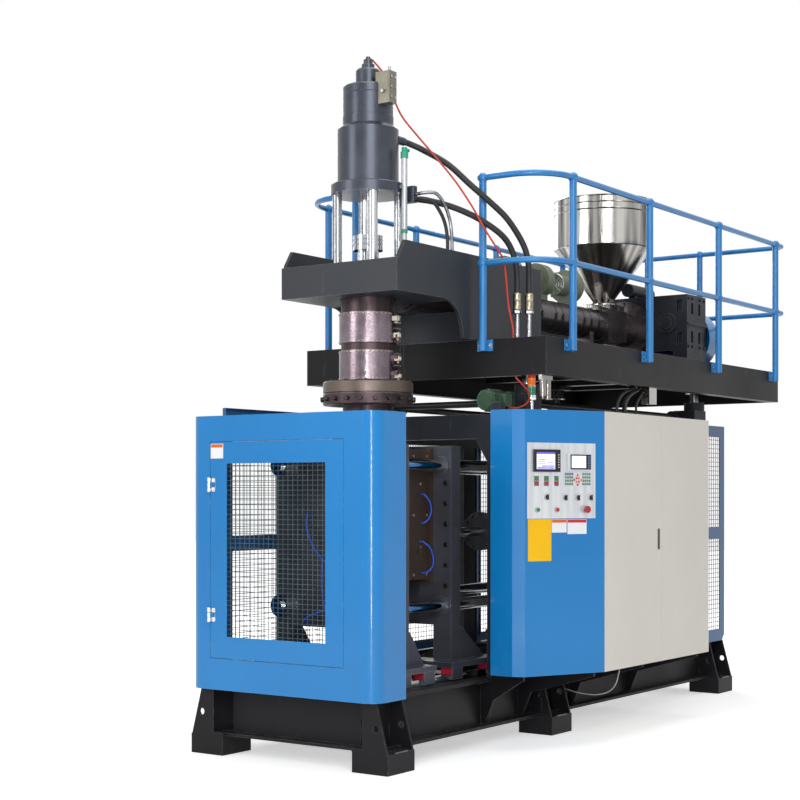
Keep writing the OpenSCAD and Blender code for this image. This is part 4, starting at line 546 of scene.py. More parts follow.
def addBox(bm, low, high, tint=0, place=Matrix()):
    size = mm(*(h - l for l, h in zip(low, high)))
    middle = mm(*((l + h) / 2 for l, h in zip(low, high)))
    made = bmesh.ops.create_cube(bm, size=1.0, matrix=place @ Matrix.Translation(middle)
                                 @ Matrix.Diagonal((*size, 1)))
    tintFaces(made["verts"], tint)


def turnedFrame(start, axis):
    # a frame that stands at start with its Z along axis
    way = Vector(axis).normalized()
    return Matrix.Translation(mm(*start)) @ way.to_track_quat("Z", "Y").to_matrix().to_4x4()


def addTurned(bm, profile, start=(0, 0, 0), axis=(0, 0, 1), sides=32, tint=0, place=Matrix()):
    # a profile of (radius, height) turned about an axis, closed where the radius is 0
    frameThere = place @ turnedFrame(start, axis)
    rings = []
    for radius, height in profile:
        if radius == 0:
            rings.append([bm.verts.new(frameThere @ mm(0, 0, height))])
        else:
            rings.append([bm.verts.new(frameThere @ mm(radius * math.cos(2 * math.pi * k / sides),
                                                       radius * math.sin(2 * math.pi * k / sides), height))
                          for k in range(sides)])
    for low, high in zip(rings, rings[1:]):
        for k in range(sides):
            corners = [low[k % len(low)], low[(k + 1) % sides % len(low)],
                       high[(k + 1) % sides % len(high)], high[k % len(high)]]
            face = bm.faces.new(list(dict.fromkeys(corners)))
            face.material_index = tint


def addRod(bm, start, end, radius, sides=16, tint=0, edge=0.0, place=Matrix()):
    length = (Vector(end) - Vector(start)).length
    edge = min(edge, radius / 2, length / 3)
    profile = [(0, 0), (radius - edge, 0), (radius, edge), (radius, length - edge), (radius - edge, length),
               (0, length)] if edge else [(0, 0), (radius, 0), (radius, length), (0, length)]
    addTurned(bm, profile, start, Vector(end) - Vector(start), sides, tint, place)


def addTube(bm, points, radii, sides=8, tint=0):
    # a tube along points in metres, with one radius in mm for each point
    normal = (points[1] - points[0]).orthogonal().normalized()
    rings = []
    for i, spot in enumerate(points):
        way = (points[min(i + 1, len(points) - 1)] - points[max(i - 1, 0)]).normalized()
        normal = (normal - way * normal.dot(way)).normalized()
        side = way.cross(normal)
        rings.append([bm.verts.new(spot + (normal * math.cos(2 * math.pi * k / sides)
                                           + side * math.sin(2 * math.pi * k / sides)) * radii[i] / 1000)
                      for k in range(sides)])
    for low, high in zip(rings, rings[1:]):
        for k in range(sides):
            bm.faces.new([low[k], low[(k + 1) % sides], high[(k + 1) % sides], high[k]]).material_index = tint
    bm.faces.new(rings[0][::-1]).material_index = tint
    bm.faces.new(rings[-1]).material_index = tint


def addPlate(bm, outlines, low, high, tint=0, edge=0.0, place=Matrix()):
    # a flat plate between two heights: the first outline is its edge and the others are holes in it
    curve = bpy.data.curves.new("plateLine", "CURVE")
    curve.dimensions = "2D"
    curve.fill_mode = "BOTH"
    curve.extrude = (high - low) / 2000 - edge / 1000
    curve.bevel_depth = edge / 1000
    curve.bevel_resolution = 1
    curve.offset = -edge / 1000
    for outline in outlines:
        line = curve.splines.new("POLY")
        line.use_cyclic_u = True
        line.points.add(len(outline) - 1)
        for spot, point in zip(outline, line.points):
            point.co = (spot[0] / 1000, spot[1] / 1000, 0, 1)
    holder = bpy.data.objects.new("plateLine", curve)
    mesh = bpy.data.meshes.new_from_object(holder)
    mesh.transform(place @ Matrix.Translation((0, 0, (low + high) / 2000)))
    before = set(bm.faces)
    bm.from_mesh(mesh)
    for face in set(bm.faces) - before:
        face.material_index = tint
    bpy.data.objects.remove(holder)
    bpy.data.curves.remove(curve)
    bpy.data.meshes.remove(mesh)


def boxLine(x0, y0, x1, y1, corner=0.0, steps=4):
    # the outline of a rectangle, with round corners where a radius is given
    if not corner:
        return [(x0, y0), (x1, y0), (x1, y1), (x0, y1)]
    line = []
    for cx, cy, start in ((x1 - corner, y1 - corner, 0), (x0 + corner, y1 - corner, 90),
                          (x0 + corner, y0 + corner, 180), (x1 - corner, y0 + corner, 270)):
        for k in range(steps + 1):
            turn = math.radians(start + 90 * k / steps)
            line.append((cx + corner * math.cos(turn), cy + corner * math.sin(turn)))
    return line


def addWires(bm, u0, u1, v0, v1, across, up, radius, place, tint=0):
    # a welded wire mesh: one layer of wires each way
    for i in range(across + 1):
        u = u0 + (u1 - u0) * i / across
        addRod(bm, (u, v0, 0), (u, v1, 0), radius, 6, tint, place=place)
    for k in range(up + 1):
        v = v0 + (v1 - v0) * k / up
        addRod(bm, (u0, v, 1.6 * radius), (u1, v, 1.6 * radius), radius, 6, tint, place=place)


def addBolt(bm, start, axis, radius, height, tint=0, place=Matrix(), sides=6, washer=True):
    # a hexagon head, or a round one with more sides, on a washer
    frameThere = place @ turnedFrame(start, axis)
    if washer:
        addTurned(bm, [(0, 0), (radius * 1.5, 0), (radius * 1.5, height * 0.16), (0, height * 0.16)],
                  sides=20, tint=tint, place=frameThere)
    addTurned(bm, [(0, 0), (radius, height * 0.16), (radius, height * 0.85), (radius * 0.88, height),
                   (0, height)], sides=sides, tint=tint, place=frameThere)


def addSocketBolt(bm, start, axis, radius, height, tint=0, place=Matrix()):
    # a round head with a hexagon socket
    frameThere = place @ turnedFrame(start, axis)
    addTurned(bm, [(0, 0), (radius, 0), (radius, height * 0.9), (radius * 0.9, height),
                   (radius * 0.55, height), (radius * 0.5, height * 0.45), (0, height * 0.45)],
              sides=18, tint=tint, place=frameThere)


def finishPiece(bm, name, body, looks, bevel=0.0, replaces=(), sharp=32):
    # turns a mesh into a piece with its finishes, body and soft edges
    bmesh.ops.recalc_face_normals(bm, faces=bm.faces)
    mesh = bpy.data.meshes.new(name)
    bm.to_mesh(mesh)
    bm.free()
    mesh.shade_smooth()
    mesh.set_sharp_from_angle(angle=math.radians(sharp))
    for look in looks:
        mesh.materials.append(finishes[look])
    piece = bpy.data.objects.new(name, mesh)
    bpy.context.scene.collection.objects.link(piece)
    if bevel:
        soft = piece.modifiers.new("softEdges", "BEVEL")
        soft.width = bevel / 1000
        soft.segments = 2
        soft.limit_method = "ANGLE"
        soft.angle_limit = math.radians(40)
        soft.harden_normals = True
    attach(piece, body)
    if replaces:
        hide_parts(*replaces)
    return piece


sideOn = Matrix(((1, 0, 0, 0), (0, 0, -1, 0), (0, 1, 0, 0), (0, 0, 0, 1)))     # drawn x, y stand as x, z
endOn = Matrix(((0, 0, -1, 0), (-1, 0, 0, 0), (0, 1, 0, 0), (0, 0, 0, 1)))     # drawn x, y stand as -y, z
print("builders ready")

# the door in the end cover, with its wire mesh and bright hinges
doorLook = {"x": -2370, "low": (-462, 581), "high": (516, 1842), "window": (-335, 708, 389, 1715),
            "depth": 22, "cells": (21, 37), "wire": 1.7, "hinge": (-2380, 517.5), "hingeHeights": (832, 1592),
            "knuckle": (9.9, 14), "plate": (42, 11, 40), "cap": (11.0, 13.5), "sleeve": (15.2, 43.4)}
doorFace = Matrix.Translation(mm(doorLook["x"], 0, 0)) @ endOn


def grown(box, margin):
    # a rectangle made larger on every side, or smaller with a negative margin
    x0, y0, x1, y1 = box
    return x0 - margin, y0 - margin, x1 + margin, y1 + margin


def endLine(x0, y0, x1, y1, corner=0.0):
    # a rectangle given in the machine's y and z, drawn for the end face
    return boxLine(-x1, y0, -x0, y1, corner)


bm = bmesh.new()
outer = endLine(*doorLook["low"], *doorLook["high"], 4)
window = endLine(*doorLook["window"], 6)
inner = endLine(*grown((*doorLook["low"], *doorLook["high"]), -3), 2)
addPlate(bm, [outer, window], -3, 0, edge=1.0, place=doorFace)
addPlate(bm, [outer, inner], -doorLook["depth"], -2.5, place=doorFace)
w = doorLook["window"]
addPlate(bm, [endLine(*grown(w, 26), 4), endLine(*grown(w, 14), 2)], -9, -3, place=doorFace)
hingeX, hingeY = doorLook["hinge"]
radius, half = doorLook["knuckle"]
for z in doorLook["hingeHeights"]:
    addRod(bm, (hingeX, hingeY, z - half), (hingeX, hingeY, z + half), radius, 20, edge=0.5)
    addBox(bm, (hingeX - 3, 480, z - half), (doorLook["x"], 514, z + half))
finishPiece(bm, "endDoorSkin", "end_door", ["panel_blue"], replaces=["end_door"])

bm = bmesh.new()
addWires(bm, -w[2] - 12, -w[0] + 12, w[1] - 12, w[3] + 12, *doorLook["cells"], doorLook["wire"],
         doorFace @ Matrix.Translation(mm(0, 0, -8)))
finishPiece(bm, "endDoorMesh", "end_door", ["meshWire"])

bm = bmesh.new()
far, near, tall = doorLook["plate"]
radius, half = doorLook["cap"]
for z in doorLook["hingeHeights"]:
    addPlate(bm, [endLine(hingeY - far, z - tall, hingeY - near, z + tall, 9)], 0.2, 3.2, edge=1.0,
             place=doorFace)
    addRod(bm, (hingeX, hingeY, z - half), (hingeX, hingeY, z + half), radius, 24, edge=1.2)
    for step in (-27, 27):
        addSocketBolt(bm, (doorLook["x"] - 3.2, 492, z + step), (-1, 0, 0), 5.5, 2.2)
finishPiece(bm, "doorHingePlates", "end_door", ["chrome"])
bm = bmesh.new()
close, far = doorLook["sleeve"]
for z in doorLook["hingeHeights"]:
    for low, high in ((z + close, z + far), (z - far, z - close)):
        addRod(bm, (hingeX, hingeY, low), (hingeX, hingeY, high), radius, 24, edge=2.0)
finishPiece(bm, "coverHingeSleeves", "base", ["chrome"])

# dark strips in the gaps round the cover's door opening: painted shade of the gaps
bm = bmesh.new()
gapShadeLook = {"x": (-2369.4, -2366.8), "y": (-465.5, 505), "z": (577.5, 1845.5), "reach": 2.9}
x0, x1 = gapShadeLook["x"]
y0, y1 = gapShadeLook["y"]
z0, z1 = gapShadeLook["z"]
reach = gapShadeLook["reach"]
addBox(bm, (x0, y0, z0), (x1, y1, z0 + reach))
addBox(bm, (x0, y0, z1 - reach), (x1, y1, z1))
addBox(bm, (x0, y0, z0), (x1, y0 + reach, z1))
finishPiece(bm, "doorGapShade", "base", ["hose_rubber"])

# the plain plate at the top corner of the door
plateLook = {"box": (416, 1745, 512, 1831), "band": 22, "margin": 3}
bm = bmesh.new()
y0, z0, y1, z1 = plateLook["box"]
margin = plateLook["margin"]
addPlate(bm, [endLine(y0, z0, y1, z1, 3)], 0.2, 1.6, edge=0.4, place=doorFace)
addPlate(bm, [endLine(y0 + margin, z1 - plateLook["band"], y1 - margin, z1 - margin, 1)], 1.5, 2.1, tint=1,
         place=doorFace)
finishPiece(bm, "doorPlate", "end_door", ["plateWhite", "bandOrange"])
print("end door")

# side guards: folded sheet with two windows of wire mesh in each bay
guardLook = {"z": (400, 2060), "windows": ((493, 1188), (1283, 1974)), "depth": 25, "sheet": 4, "wire": 2.2,
             "near": (900, 2250, 950, 2160, 45), "pitch": 33.5, "y": 680, "spacerX": (-1030, 420, 1845),
             "spacerZ": (430, 1210, 1990), "spacerY": (647, 676),
             "far": ((-2078, -652, -1990, -740), (-650, 760, -562, 672), (762, 2248, 850, 2160))}


def addGuardBay(bm, x0, x1, w0, w1, corner, place):
    low, high = guardLook["z"]
    edge = [(x0, low), (x1 - corner, low), (x1, low + corner), (x1, high), (x0, high)]
    sheet = guardLook["sheet"]
    inside = [(x0 + sheet, low + sheet), (x1 - corner - 2, low + sheet), (x1 - sheet, low + corner + 2),
              (x1 - sheet, high - sheet), (x0 + sheet, high - sheet)]
    holes = [boxLine(w0, z0, w1, z1, 6) for z0, z1 in guardLook["windows"]]
    addPlate(bm, [edge, *holes], -sheet, 0, edge=1.0, place=place)
    addPlate(bm, [edge, inside], -guardLook["depth"], -3.5, place=place)
    for z0, z1 in guardLook["windows"]:
        opening = (w0, z0, w1, z1)
        addPlate(bm, [boxLine(*grown(opening, 26), 4), boxLine(*grown(opening, 14), 2)], -11, -3.5,
                 place=place)


def addGuardWires(bm, w0, w1, place):
    for z0, z1 in guardLook["windows"]:
        across = round((w1 - w0) / guardLook["pitch"])
        up = round((z1 - z0) / guardLook["pitch"])
        addWires(bm, w0 - 12, w1 + 12, z0 - 12, z1 + 12, across, up, guardLook["wire"],
                 place @ Matrix.Translation(mm(0, 0, -9.5)))


def addSpacer(bm, x, side):
    for z in guardLook["spacerZ"]:
        y0, y1 = sorted(side * y for y in guardLook["spacerY"])
        addBox(bm, (x + 40, y0, z), (x + 110, y1, z + 40))


nearFace = Matrix.Translation(mm(0, -guardLook["y"], 0)) @ sideOn
farFace = Matrix.Translation(mm(0, guardLook["y"], 0)) @ sideOn @ Matrix.Scale(-1, 4, (0, 0, 1))
x0, x1, w0, w1, corner = guardLook["near"]
bm = bmesh.new()
addGuardBay(bm, x0, x1, w0, w1, corner, nearFace)
addSpacer(bm, guardLook["spacerX"][-1], -1)
finishPiece(bm, "nearGuardSkin", "base", ["mesh_blue"], replaces=["near_guard"])
bm = bmesh.new()
addGuardWires(bm, w0, w1, nearFace)
finishPiece(bm, "nearGuardMesh", "base", ["meshWire"])
bm = bmesh.new()
wires = bmesh.new()
for x0, x1, w0, w1 in guardLook["far"]:
    addGuardBay(bm, x0, x1, w0, w1, 2, farFace)
    addGuardWires(wires, w0, w1, farFace)
for x in guardLook["spacerX"]:
    addSpacer(bm, x, 1)
finishPiece(bm, "farGuardSkin", "base", ["mesh_blue"], replaces=["far_guard"])
finishPiece(wires, "farGuardMesh", "base", ["meshWire"])
print("side guards")

# the control panel, drawn in its own plan frame: t along the face, d outwards, z up
panelFrame = (Matrix.Translation(mm(-640, -1160, 0)) @
              Matrix.Rotation(math.atan2(258, -520), 4, "Z"))
# drawn t and z, with d as the height
panelFace = panelFrame @ Matrix(((1, 0, 0, 0), (0, 0, 1, 0), (0, 1, 0, 0), (0, 0, 0, 1)))
screenLook = {"box": (375, 1687, 508, 1789), "depth": 15.6, "face": 15.4,
              "bars": ((380, 1690, 503, 1698), (380, 1702, 470, 1709)),
              "blocks": ((440, 1742, 500, 1766), (386, 1716, 432, 1728), (444, 1718, 498, 1734))}
bm = bmesh.new()
x0, z0, x1, z1 = screenLook["box"]
addBox(bm, (x0, 12, z0), (x1, screenLook["depth"], z1), 0, panelFrame)


def addMark(left, low, right, high, rise=0.5):
    # a thin shape on the lit picture
    face = screenLook["face"]
    addBox(bm, (left, face, low), (right, face + rise, high), 1, panelFrame)


for box in screenLook["bars"]:
    addMark(*box, 0.6)
for i in range(5):
    z = 1752 - (i % 2) * 8
    addMark(400 + i * 20, z, 412 + i * 20, z + 3)
for left, low, right, high in screenLook["blocks"]:
    addMark(left, low, right, low + 3)
    addMark(left, high - 3, right, high)
addMark(x0, z1 - 12, x1, z1)
finishPiece(bm, "screenPicture", "base", ["screenLilac", "screenViolet"])
bm = bmesh.new()
for k in range(6):
    addBox(bm, (346, 17, 1696 + k * 15), (354, 18.2, 1701 + k * 15), 0, panelFrame)
addPlate(bm, [boxLine(364, 1680, 519, 1796, 4), boxLine(374, 1686, 509, 1790, 2)], 16.9, 18.6, tint=1,
         edge=0.5, place=panelFace)
finishPiece(bm, "screenKeys", "base", ["plateWhite", "screen_black"])

controllerLook = {"glass": (149, 1696, 254, 1769), "bezel": (112, 1686, 262, 1777), "keys": (116, 1694),
                  "pads": ((239, 1), (111, 0)), "pitch": (16, 20), "padLow": 1592}
bm = bmesh.new()
g = controllerLook["glass"]
addPlate(bm, [boxLine(*controllerLook["bezel"], 3), boxLine(*g, 2)], 14.9, 16.6, tint=0, edge=0.5,
         place=panelFace)
addBox(bm, (g[0] - 1, 12.5, g[1] - 1), (g[2] + 1, 14.2, g[3] + 1), 1, panelFrame)
for row in range(6):
    for column in range(2):
        t, z = controllerLook["keys"][0] + column * 12, controllerLook["keys"][1] + row * 13
        addBox(bm, (t, 16.5, z), (t + 9, 18, z + 8), 2, panelFrame)
finishPiece(bm, "controllerFace", "base", ["screen_black", "screenWhite", "keyBlue"])
bm = bmesh.new()
for left, topShade in controllerLook["pads"]:
    for row in range(4):
        for column in range(4):
            t = left + column * controllerLook["pitch"][0]
            z = controllerLook["padLow"] + row * controllerLook["pitch"][1]
            shade = topShade if row == 3 else 0
            addBox(bm, (t - 0.4, 5.5, z - 0.4), (t + 11.4, 8.9, z + 13.4), shade, panelFrame)
for t, z, tint in ((197, 1634, 3), (213, 1634, 2), (197, 1612, 2), (213, 1612, 3), (205, 1652, 2),
                   (181, 1623, 3), (229, 1623, 2), (205, 1594, 2)):
    addTurned(bm, [(0, 0), (6.6, 0), (6.6, 2.6), (5.8, 3.2), (0, 3.2)], (t, 6, z), (0, 1, 0), 16, tint,
              panelFrame)
finishPiece(bm, "controllerKeys", "base", ["keyGreen", "keyBlue", "bandRed", "bandOrange"],
            bevel=0.5)

# caps of the double push buttons, the rings round the buttons and marks by the selectors
capLook = {"doubles": (504, 433, 361), "z": 1616, "half": 11.6, "selectors": ((428, 1519), (294, 1515),
           (202, 1515), (108, 1515)), "round": ((495, 1443, 16), (355, 1443, 16), (147, 1444, 20))}
for name, rise, look, slotName in (("doubleCapsGreen", 13, "green_cap", "green_cap"),
                                   ("doubleCapsRed", -13, "red_cap", "red_cap")):
    bm = bmesh.new()
    for t in capLook["doubles"]:
        half, z = capLook["half"], capLook["z"] + rise
        addPlate(bm, [boxLine(t - half, z - half, t + half, z + half, 2.5, 3)], 8.2, 13.6, edge=0.8,
                 place=panelFace)
    finishPiece(bm, name, "base", [look])
bm = bmesh.new()
for t in capLook["doubles"]:
    addPlate(bm, [boxLine(t - 16, capLook["z"] - 29.5, t + 16, capLook["z"] + 29.5, 3, 3),
                  boxLine(t - 12.6, capLook["z"] - 26, t + 12.6, capLook["z"] + 26, 2, 3)], 7.8, 9.6,
             edge=0.5, place=panelFace)
finishPiece(bm, "doubleButtonFrames", "base", ["screen_black"])
bm = bmesh.new()
for t, z, radius in (*capLook["round"], *((*spot, 16) for spot in capLook["selectors"])):
    ring = [(radius - 1.6, 7.4), (radius - 0.8, 8.2), (radius + 0.8, 7.6), (radius + 1.6, 6.4),
            (radius + 1.6, 3.2), (radius - 1.6, 3.2), (radius - 1.6, 7.4)]
    addTurned(bm, ring, (t, 0, z), (0, 1, 0), 28, place=panelFrame)
finishPiece(bm, "buttonRings", "base", ["zinc"])
bm = bmesh.new()
for t, z in capLook["selectors"]:
    for turn in (135, 90, 45):
        markT, markZ = t + 27 * wayAt(turn).x, z + 27 * wayAt(turn).y
        addBox(bm, (markT - 1, 2.9, markZ - 3), (markT + 1, 3.4, markZ + 3), 0, panelFrame)
finishPiece(bm, "panelMarks", "base", ["screen_black"])

# the plain plates under the control plate
noticeLook = {"plates": (((283, 1305, 390, 1385), 1), ((136, 1295, 276, 1384), 2)), "band": 20}
bm = bmesh.new()
for box, tint in noticeLook["plates"]:
    addPlate(bm, [boxLine(*box, 2, 3)], 1.3, 2.2, place=panelFace)
    addPlate(bm, [boxLine(box[0] + 2, box[3] - noticeLook["band"], box[2] - 2, box[3] - 2)], 2.1, 2.5,
             tint=tint, place=panelFace)
finishPiece(bm, "noticeFaces", "base", ["plateWhite", "bandOrange", "bandRed"])
print("control panel")

# signal tower on the control cabinet
towerLook = {"at": (-770, -718), "z": 2045, "first": 108, "pitch": 56, "capZ": 240,
             "pole": ((0, 0), (30, 0), (30, 9), (27, 12), (11, 13), (11, 74), (27, 76), (28, 79), (28, 108),
                      (0, 108)),
             "lens": ((0, 0), (24, 0), (25, 4), (25, 12), (24, 15), (25, 18), (25, 30), (24, 33), (25, 36),
                      (25, 50), (0, 50)),
             "ring": ((0, 0), (26.5, 0), (28, 1), (28, 4), (26.5, 5), (0, 5)),
             "cap": ((0, 0), (25.6, 0), (25.6, 14), (0, 14))}
bm = bmesh.new()
stack = [("pole", 0, 0)]
for i in range(3):
    base = towerLook["first"] + i * towerLook["pitch"]
    stack += [("lens", base + 2, 1 + i), ("ring", base + 52, 0)]
for part, rise, tint in (*stack, ("cap", towerLook["capZ"], 4)):
    addTurned(bm, towerLook[part], (*towerLook["at"], towerLook["z"] + rise), tint=tint)
finishPiece(bm, "towerLight", "base", ["chrome", "lensGreen", "lensOrange", "lamp_red", "lensHot"],
            replaces=["tower_light"])

# fittings where the two big hoses meet the platform and the housing
hoseLook = {"ends": ((-770, -700, 2775), (-830, -650, 2775)),
            "body": ((24, -92), (26, -88), (26, -40), (23.5, -36), (26, -32), (26, 6), (22, 12), (19.6, 12),
                     (19.6, -2), (0, -2)),
            "nut": ((0, -118), (24, -117), (29, -112), (29, -98), (24, -93), (0, -92)),
            "stem": ((0, -275), (13, -275), (13, -117), (0, -117)),
            "foot": ((0, -275), (26, -275), (26, -263), (14, -258), (0, -258))}
bm = bmesh.new()
for spot in hoseLook["ends"]:
    for part, sides, tint in (("body", 24, 0), ("nut", 6, 1), ("stem", 20, 1), ("foot", 24, 1)):
        addTurned(bm, hoseLook[part], spot, sides=sides, tint=tint)
finishPiece(bm, "hoseFittings", "platform", ["brass", "zinc"], replaces=["hydraulic_hoses"])
print("tower light and fittings")

# heater bands: end straps, a row of clamp bolts, ceramic terminals and their wires
bandLook = {"heights": ((2228, 2407), (2452, 2636)), "clampAngle": 292,
            "terminals": ((2600, 276), (2500, 282), (2360, 284), (2255, 286)), "studs": 40}


def aroundHead(radius, angle, z):
    return Vector((headAxis, 0, z)) + radius * wayAt(angle)


bm = bmesh.new()
for low, high in bandLook["heights"]:
    for z in (low + 2, high - 14):
        addTurned(bm, [(177.4, 0), (179.6, 1), (179.6, 11), (177.4, 12), (177.4, 0)], (headAxis, 0, z),
                  sides=72)
    for angle in (bandLook["clampAngle"] - 5, bandLook["clampAngle"] + 5):
        for k in range(5):
            z = low + 18 + k * (high - low - 36) / 4
            addRod(bm, aroundHead(176, angle, z), aroundHead(195, angle, z), 8, 12, 0, 1.5)
            addBolt(bm, aroundHead(194, angle, z), wayAt(angle), 6, 7, 1)
    for k in range(bandLook["studs"]):
        angle = k * 360 / bandLook["studs"]
        for z in (low + 8, high - 8):
            addTurned(bm, [(0, 0), (3.2, 0), (2.6, 2.4), (0, 3)], aroundHead(179, angle, z),
                      wayAt(angle), 8, 1)
finishPiece(bm, "bandStraps", "platform", ["band_steel", "zinc"])

bm = bmesh.new()
for z, angle in bandLook["terminals"]:
    turned = Matrix.Translation(mm(headAxis, 0, z)) @ Matrix.Rotation(math.radians(angle), 4, "Z")
    addBox(bm, (178, -20, -14), (206, 20, 14), 0, turned)
    addBox(bm, (206, -16, -10), (212, -2, 10), 0, turned)
    addBox(bm, (206, 2, -10), (212, 16, 10), 0, turned)
    for y in (-9, 9):
        addSocketBolt(bm, (206, y, 14), (0, 0, 1), 4, 4, 1, turned)
        addRod(bm, (196, y, -30), (196, y, -13), 4.5, 10, 1, 1.0, turned)
finishPiece(bm, "bandTerminals", "platform", ["ceramic", "brass"], bevel=1.6)

# bolts round the flange ring, and the plug hole over the bands
ringLook = {"z": 2112, "count": 20, "start": 9, "plug": (-16, 2642, 16, 2688), "plugAngle": 209}
bm = bmesh.new()
for k in range(ringLook["count"]):
    angle = k * 360 / ringLook["count"] + ringLook["start"]
    addSocketBolt(bm, aroundHead(269, angle, ringLook["z"]), wayAt(angle), 14.5, 23.6)
for k in range(12):
    addSocketBolt(bm, aroundHead(250, k * 30 + 4, 2218.5), (0, 0, 1), 12, 9)
plugPlace = (Matrix.Translation(mm(headAxis, 0, 0)) @
             Matrix.Rotation(math.radians(ringLook["plugAngle"]), 4, "Z") @
             Matrix(((0, 0, 1, 0), (1, 0, 0, 0), (0, 1, 0, 0), (0, 0, 0, 1))))
addPlate(bm, [boxLine(*ringLook["plug"], 3), boxLine(*grown(ringLook["plug"], -6), 2)], 164, 168,
         place=plugPlace)
finishPiece(bm, "ringBolts", "platform", ["boltBlack"], bevel=0.8)
print("heater bands and ring")

# green caps and elbow of the position sensor
sensorLook = {"at": (-1483, -250), "elbow": 44, "elbowZ": 3617,
              "cap": ((15, 3564), (23.5, 3564), (23.5, 3602), (17, 3606), (17, 3629), (0, 3629)),
              "foot": ((15, 3112), (19.6, 3112), (19.6, 3134), (15, 3134))}
bm = bmesh.new()
x, y = sensorLook["at"]
addTurned(bm, sensorLook["cap"], (x, y, 0), sides=24)
addTurned(bm, sensorLook["foot"], (x, y, 0), sides=24)
z = sensorLook["elbowZ"]
addRod(bm, (x, y, z), (x + sensorLook["elbow"], y, z), 11, 16, 0, 2.0)
finishPiece(bm, "sensorCaps", "platform", ["capSeaGreen"])

# worn plate, plugs and connectors of the valve block on the housing
blockLook = {"low": (-1589.5, -216, 3888.5), "high": (-1516.5, -112, 4081.5), "plugs": (3925, 3985, 4045)}
bm = bmesh.new()
addBox(bm, blockLook["low"], blockLook["high"])
for z in blockLook["plugs"]:
    for x in (-1573, -1533):
        addSocketBolt(bm, (x, -216, z), (0, -1, 0), 8, 6, 1)
addRod(bm, (-1553, -190, 4081), (-1553, -190, 4112), 9, 6, 1, 1.0)
addRod(bm, (-1589, -170, 3960), (-1606, -170, 3960), 12, 6, 1, 1.0)
finishPiece(bm, "valveBlockPlate", "platform", ["plateBeige", "zinc"], bevel=1.5)

# black wires from the clamps of the bands down to the ring
wireLook = {"angles": ((296, 0.9), (304, 1.0)), "starts": (2320, 2545), "radius": 3.4}
bm = bmesh.new()
for angle, sag in wireLook["angles"]:
    for start in wireLook["starts"]:
        route = [(208, 0, start), (224, 3, start - 12), (232 * sag, 7, start - 60),
                 (216 * sag, 9, start - 130), (222, 12, 2236), (258, 13, 2226), (268, 15, 2223)]
        points = [aroundHead(radius, angle + turn, z) / 1000 for radius, turn, z in route]
        addTube(bm, points, [wireLook["radius"]] * len(points))
finishPiece(bm, "bandWires", "platform", ["hose_rubber"])

# red wipers on both ends of every carriage
wiperLook = {"carriages": {"clamp_left": ((-1931, -1821), (-1690, -1580), (710, 820), (905, 1015)),
                           "clamp_right": ((-1390, -1280), (-975, -865))},
             "y": (455, 535), "z": (457, 493), "depth": 5}
z0, z1 = wiperLook["z"]
for body, spans in wiperLook["carriages"].items():
    bm = bmesh.new()
    for x0, x1 in spans:
        for side in (-1, 1):
            y0, y1 = sorted(side * y for y in wiperLook["y"])
            for low, high in ((x0 - wiperLook["depth"], x0 + 1), (x1 - 1, x1 + wiperLook["depth"])):
                addBox(bm, (low, y0, z0), (high, y1, z1))
    finishPiece(bm, "wipers_" + body, body, ["sealRed"], bevel=1.2)

# screws of the platens and the moulds
screwLook = {"face": -1290, "rows": range(6), "low": 980, "pitch": 125, "y": 425,
             "sideX": (45, 120, 190), "sideZ": (1050, 1215, 1410, 1600, 1765), "mouldY": 305}
bm = bmesh.new()
for side in (-1, 1):
    for row in screwLook["rows"]:
        spot = (screwLook["face"], side * screwLook["y"], screwLook["low"] + row * screwLook["pitch"])
        addSocketBolt(bm, spot, (-1, 0, 0), 15, 11, 0)
finishPiece(bm, "platenScrews", "clamp_right", ["boltBlack"])
for body, way in (("clamp_left", -1), ("clamp_right", 1)):
    bm = bmesh.new()
    for side in (-1, 1):
        for i, far in enumerate(screwLook["sideX"]):     # the middle row is brass
            for z in screwLook["sideZ"][i % 2::2]:
                spot = (headAxis + way * far, side * screwLook["mouldY"], z)
                addSocketBolt(bm, spot, (0, side, 0), 10, 7, i % 2)
    finishPiece(bm, "mouldScrews_" + body, body, ["zinc", "brass"])

# bolts of the gearbox, the hopper flange and the posts' foot plates
boltLook = {"boxX": (1946, 2018, 2158, 2230), "boxY": -520, "boxZ": (2676, 3046), "hopper": (1530, 0, 2987),
            "hopperRadius": 93, "postX": (-671, 390, 1517, 2601), "postY": 934, "postZ": 2460,
            "ends": ((-958, -1, (-492, 492)), (2744, 1, (-237, 237))), "steps": (-40, 40)}
bm = bmesh.new()
for x in boltLook["boxX"]:
    for z in boltLook["boxZ"]:
        addBolt(bm, (x, boltLook["boxY"], z), (0, -1, 0), 11, 9)
for k in range(8):
    spot = Vector(boltLook["hopper"]) + boltLook["hopperRadius"] * wayAt(22.5 + k * 45)
    addBolt(bm, spot, (0, 0, 1), 9, 8)
for step in boltLook["steps"]:
    for side in (-1, 1):
        for x in boltLook["postX"]:
            addBolt(bm, (x + step, side * boltLook["postY"], boltLook["postZ"]), (0, side, 0), 10, 9, 1)
    for x, way, spots in boltLook["ends"]:
        for y in spots:
            addBolt(bm, (x, y + step, boltLook["postZ"]), (way, 0, 0), 10, 9, 1)
finishPiece(bm, "platformBolts", "platform", ["boltBlack", "zinc"])

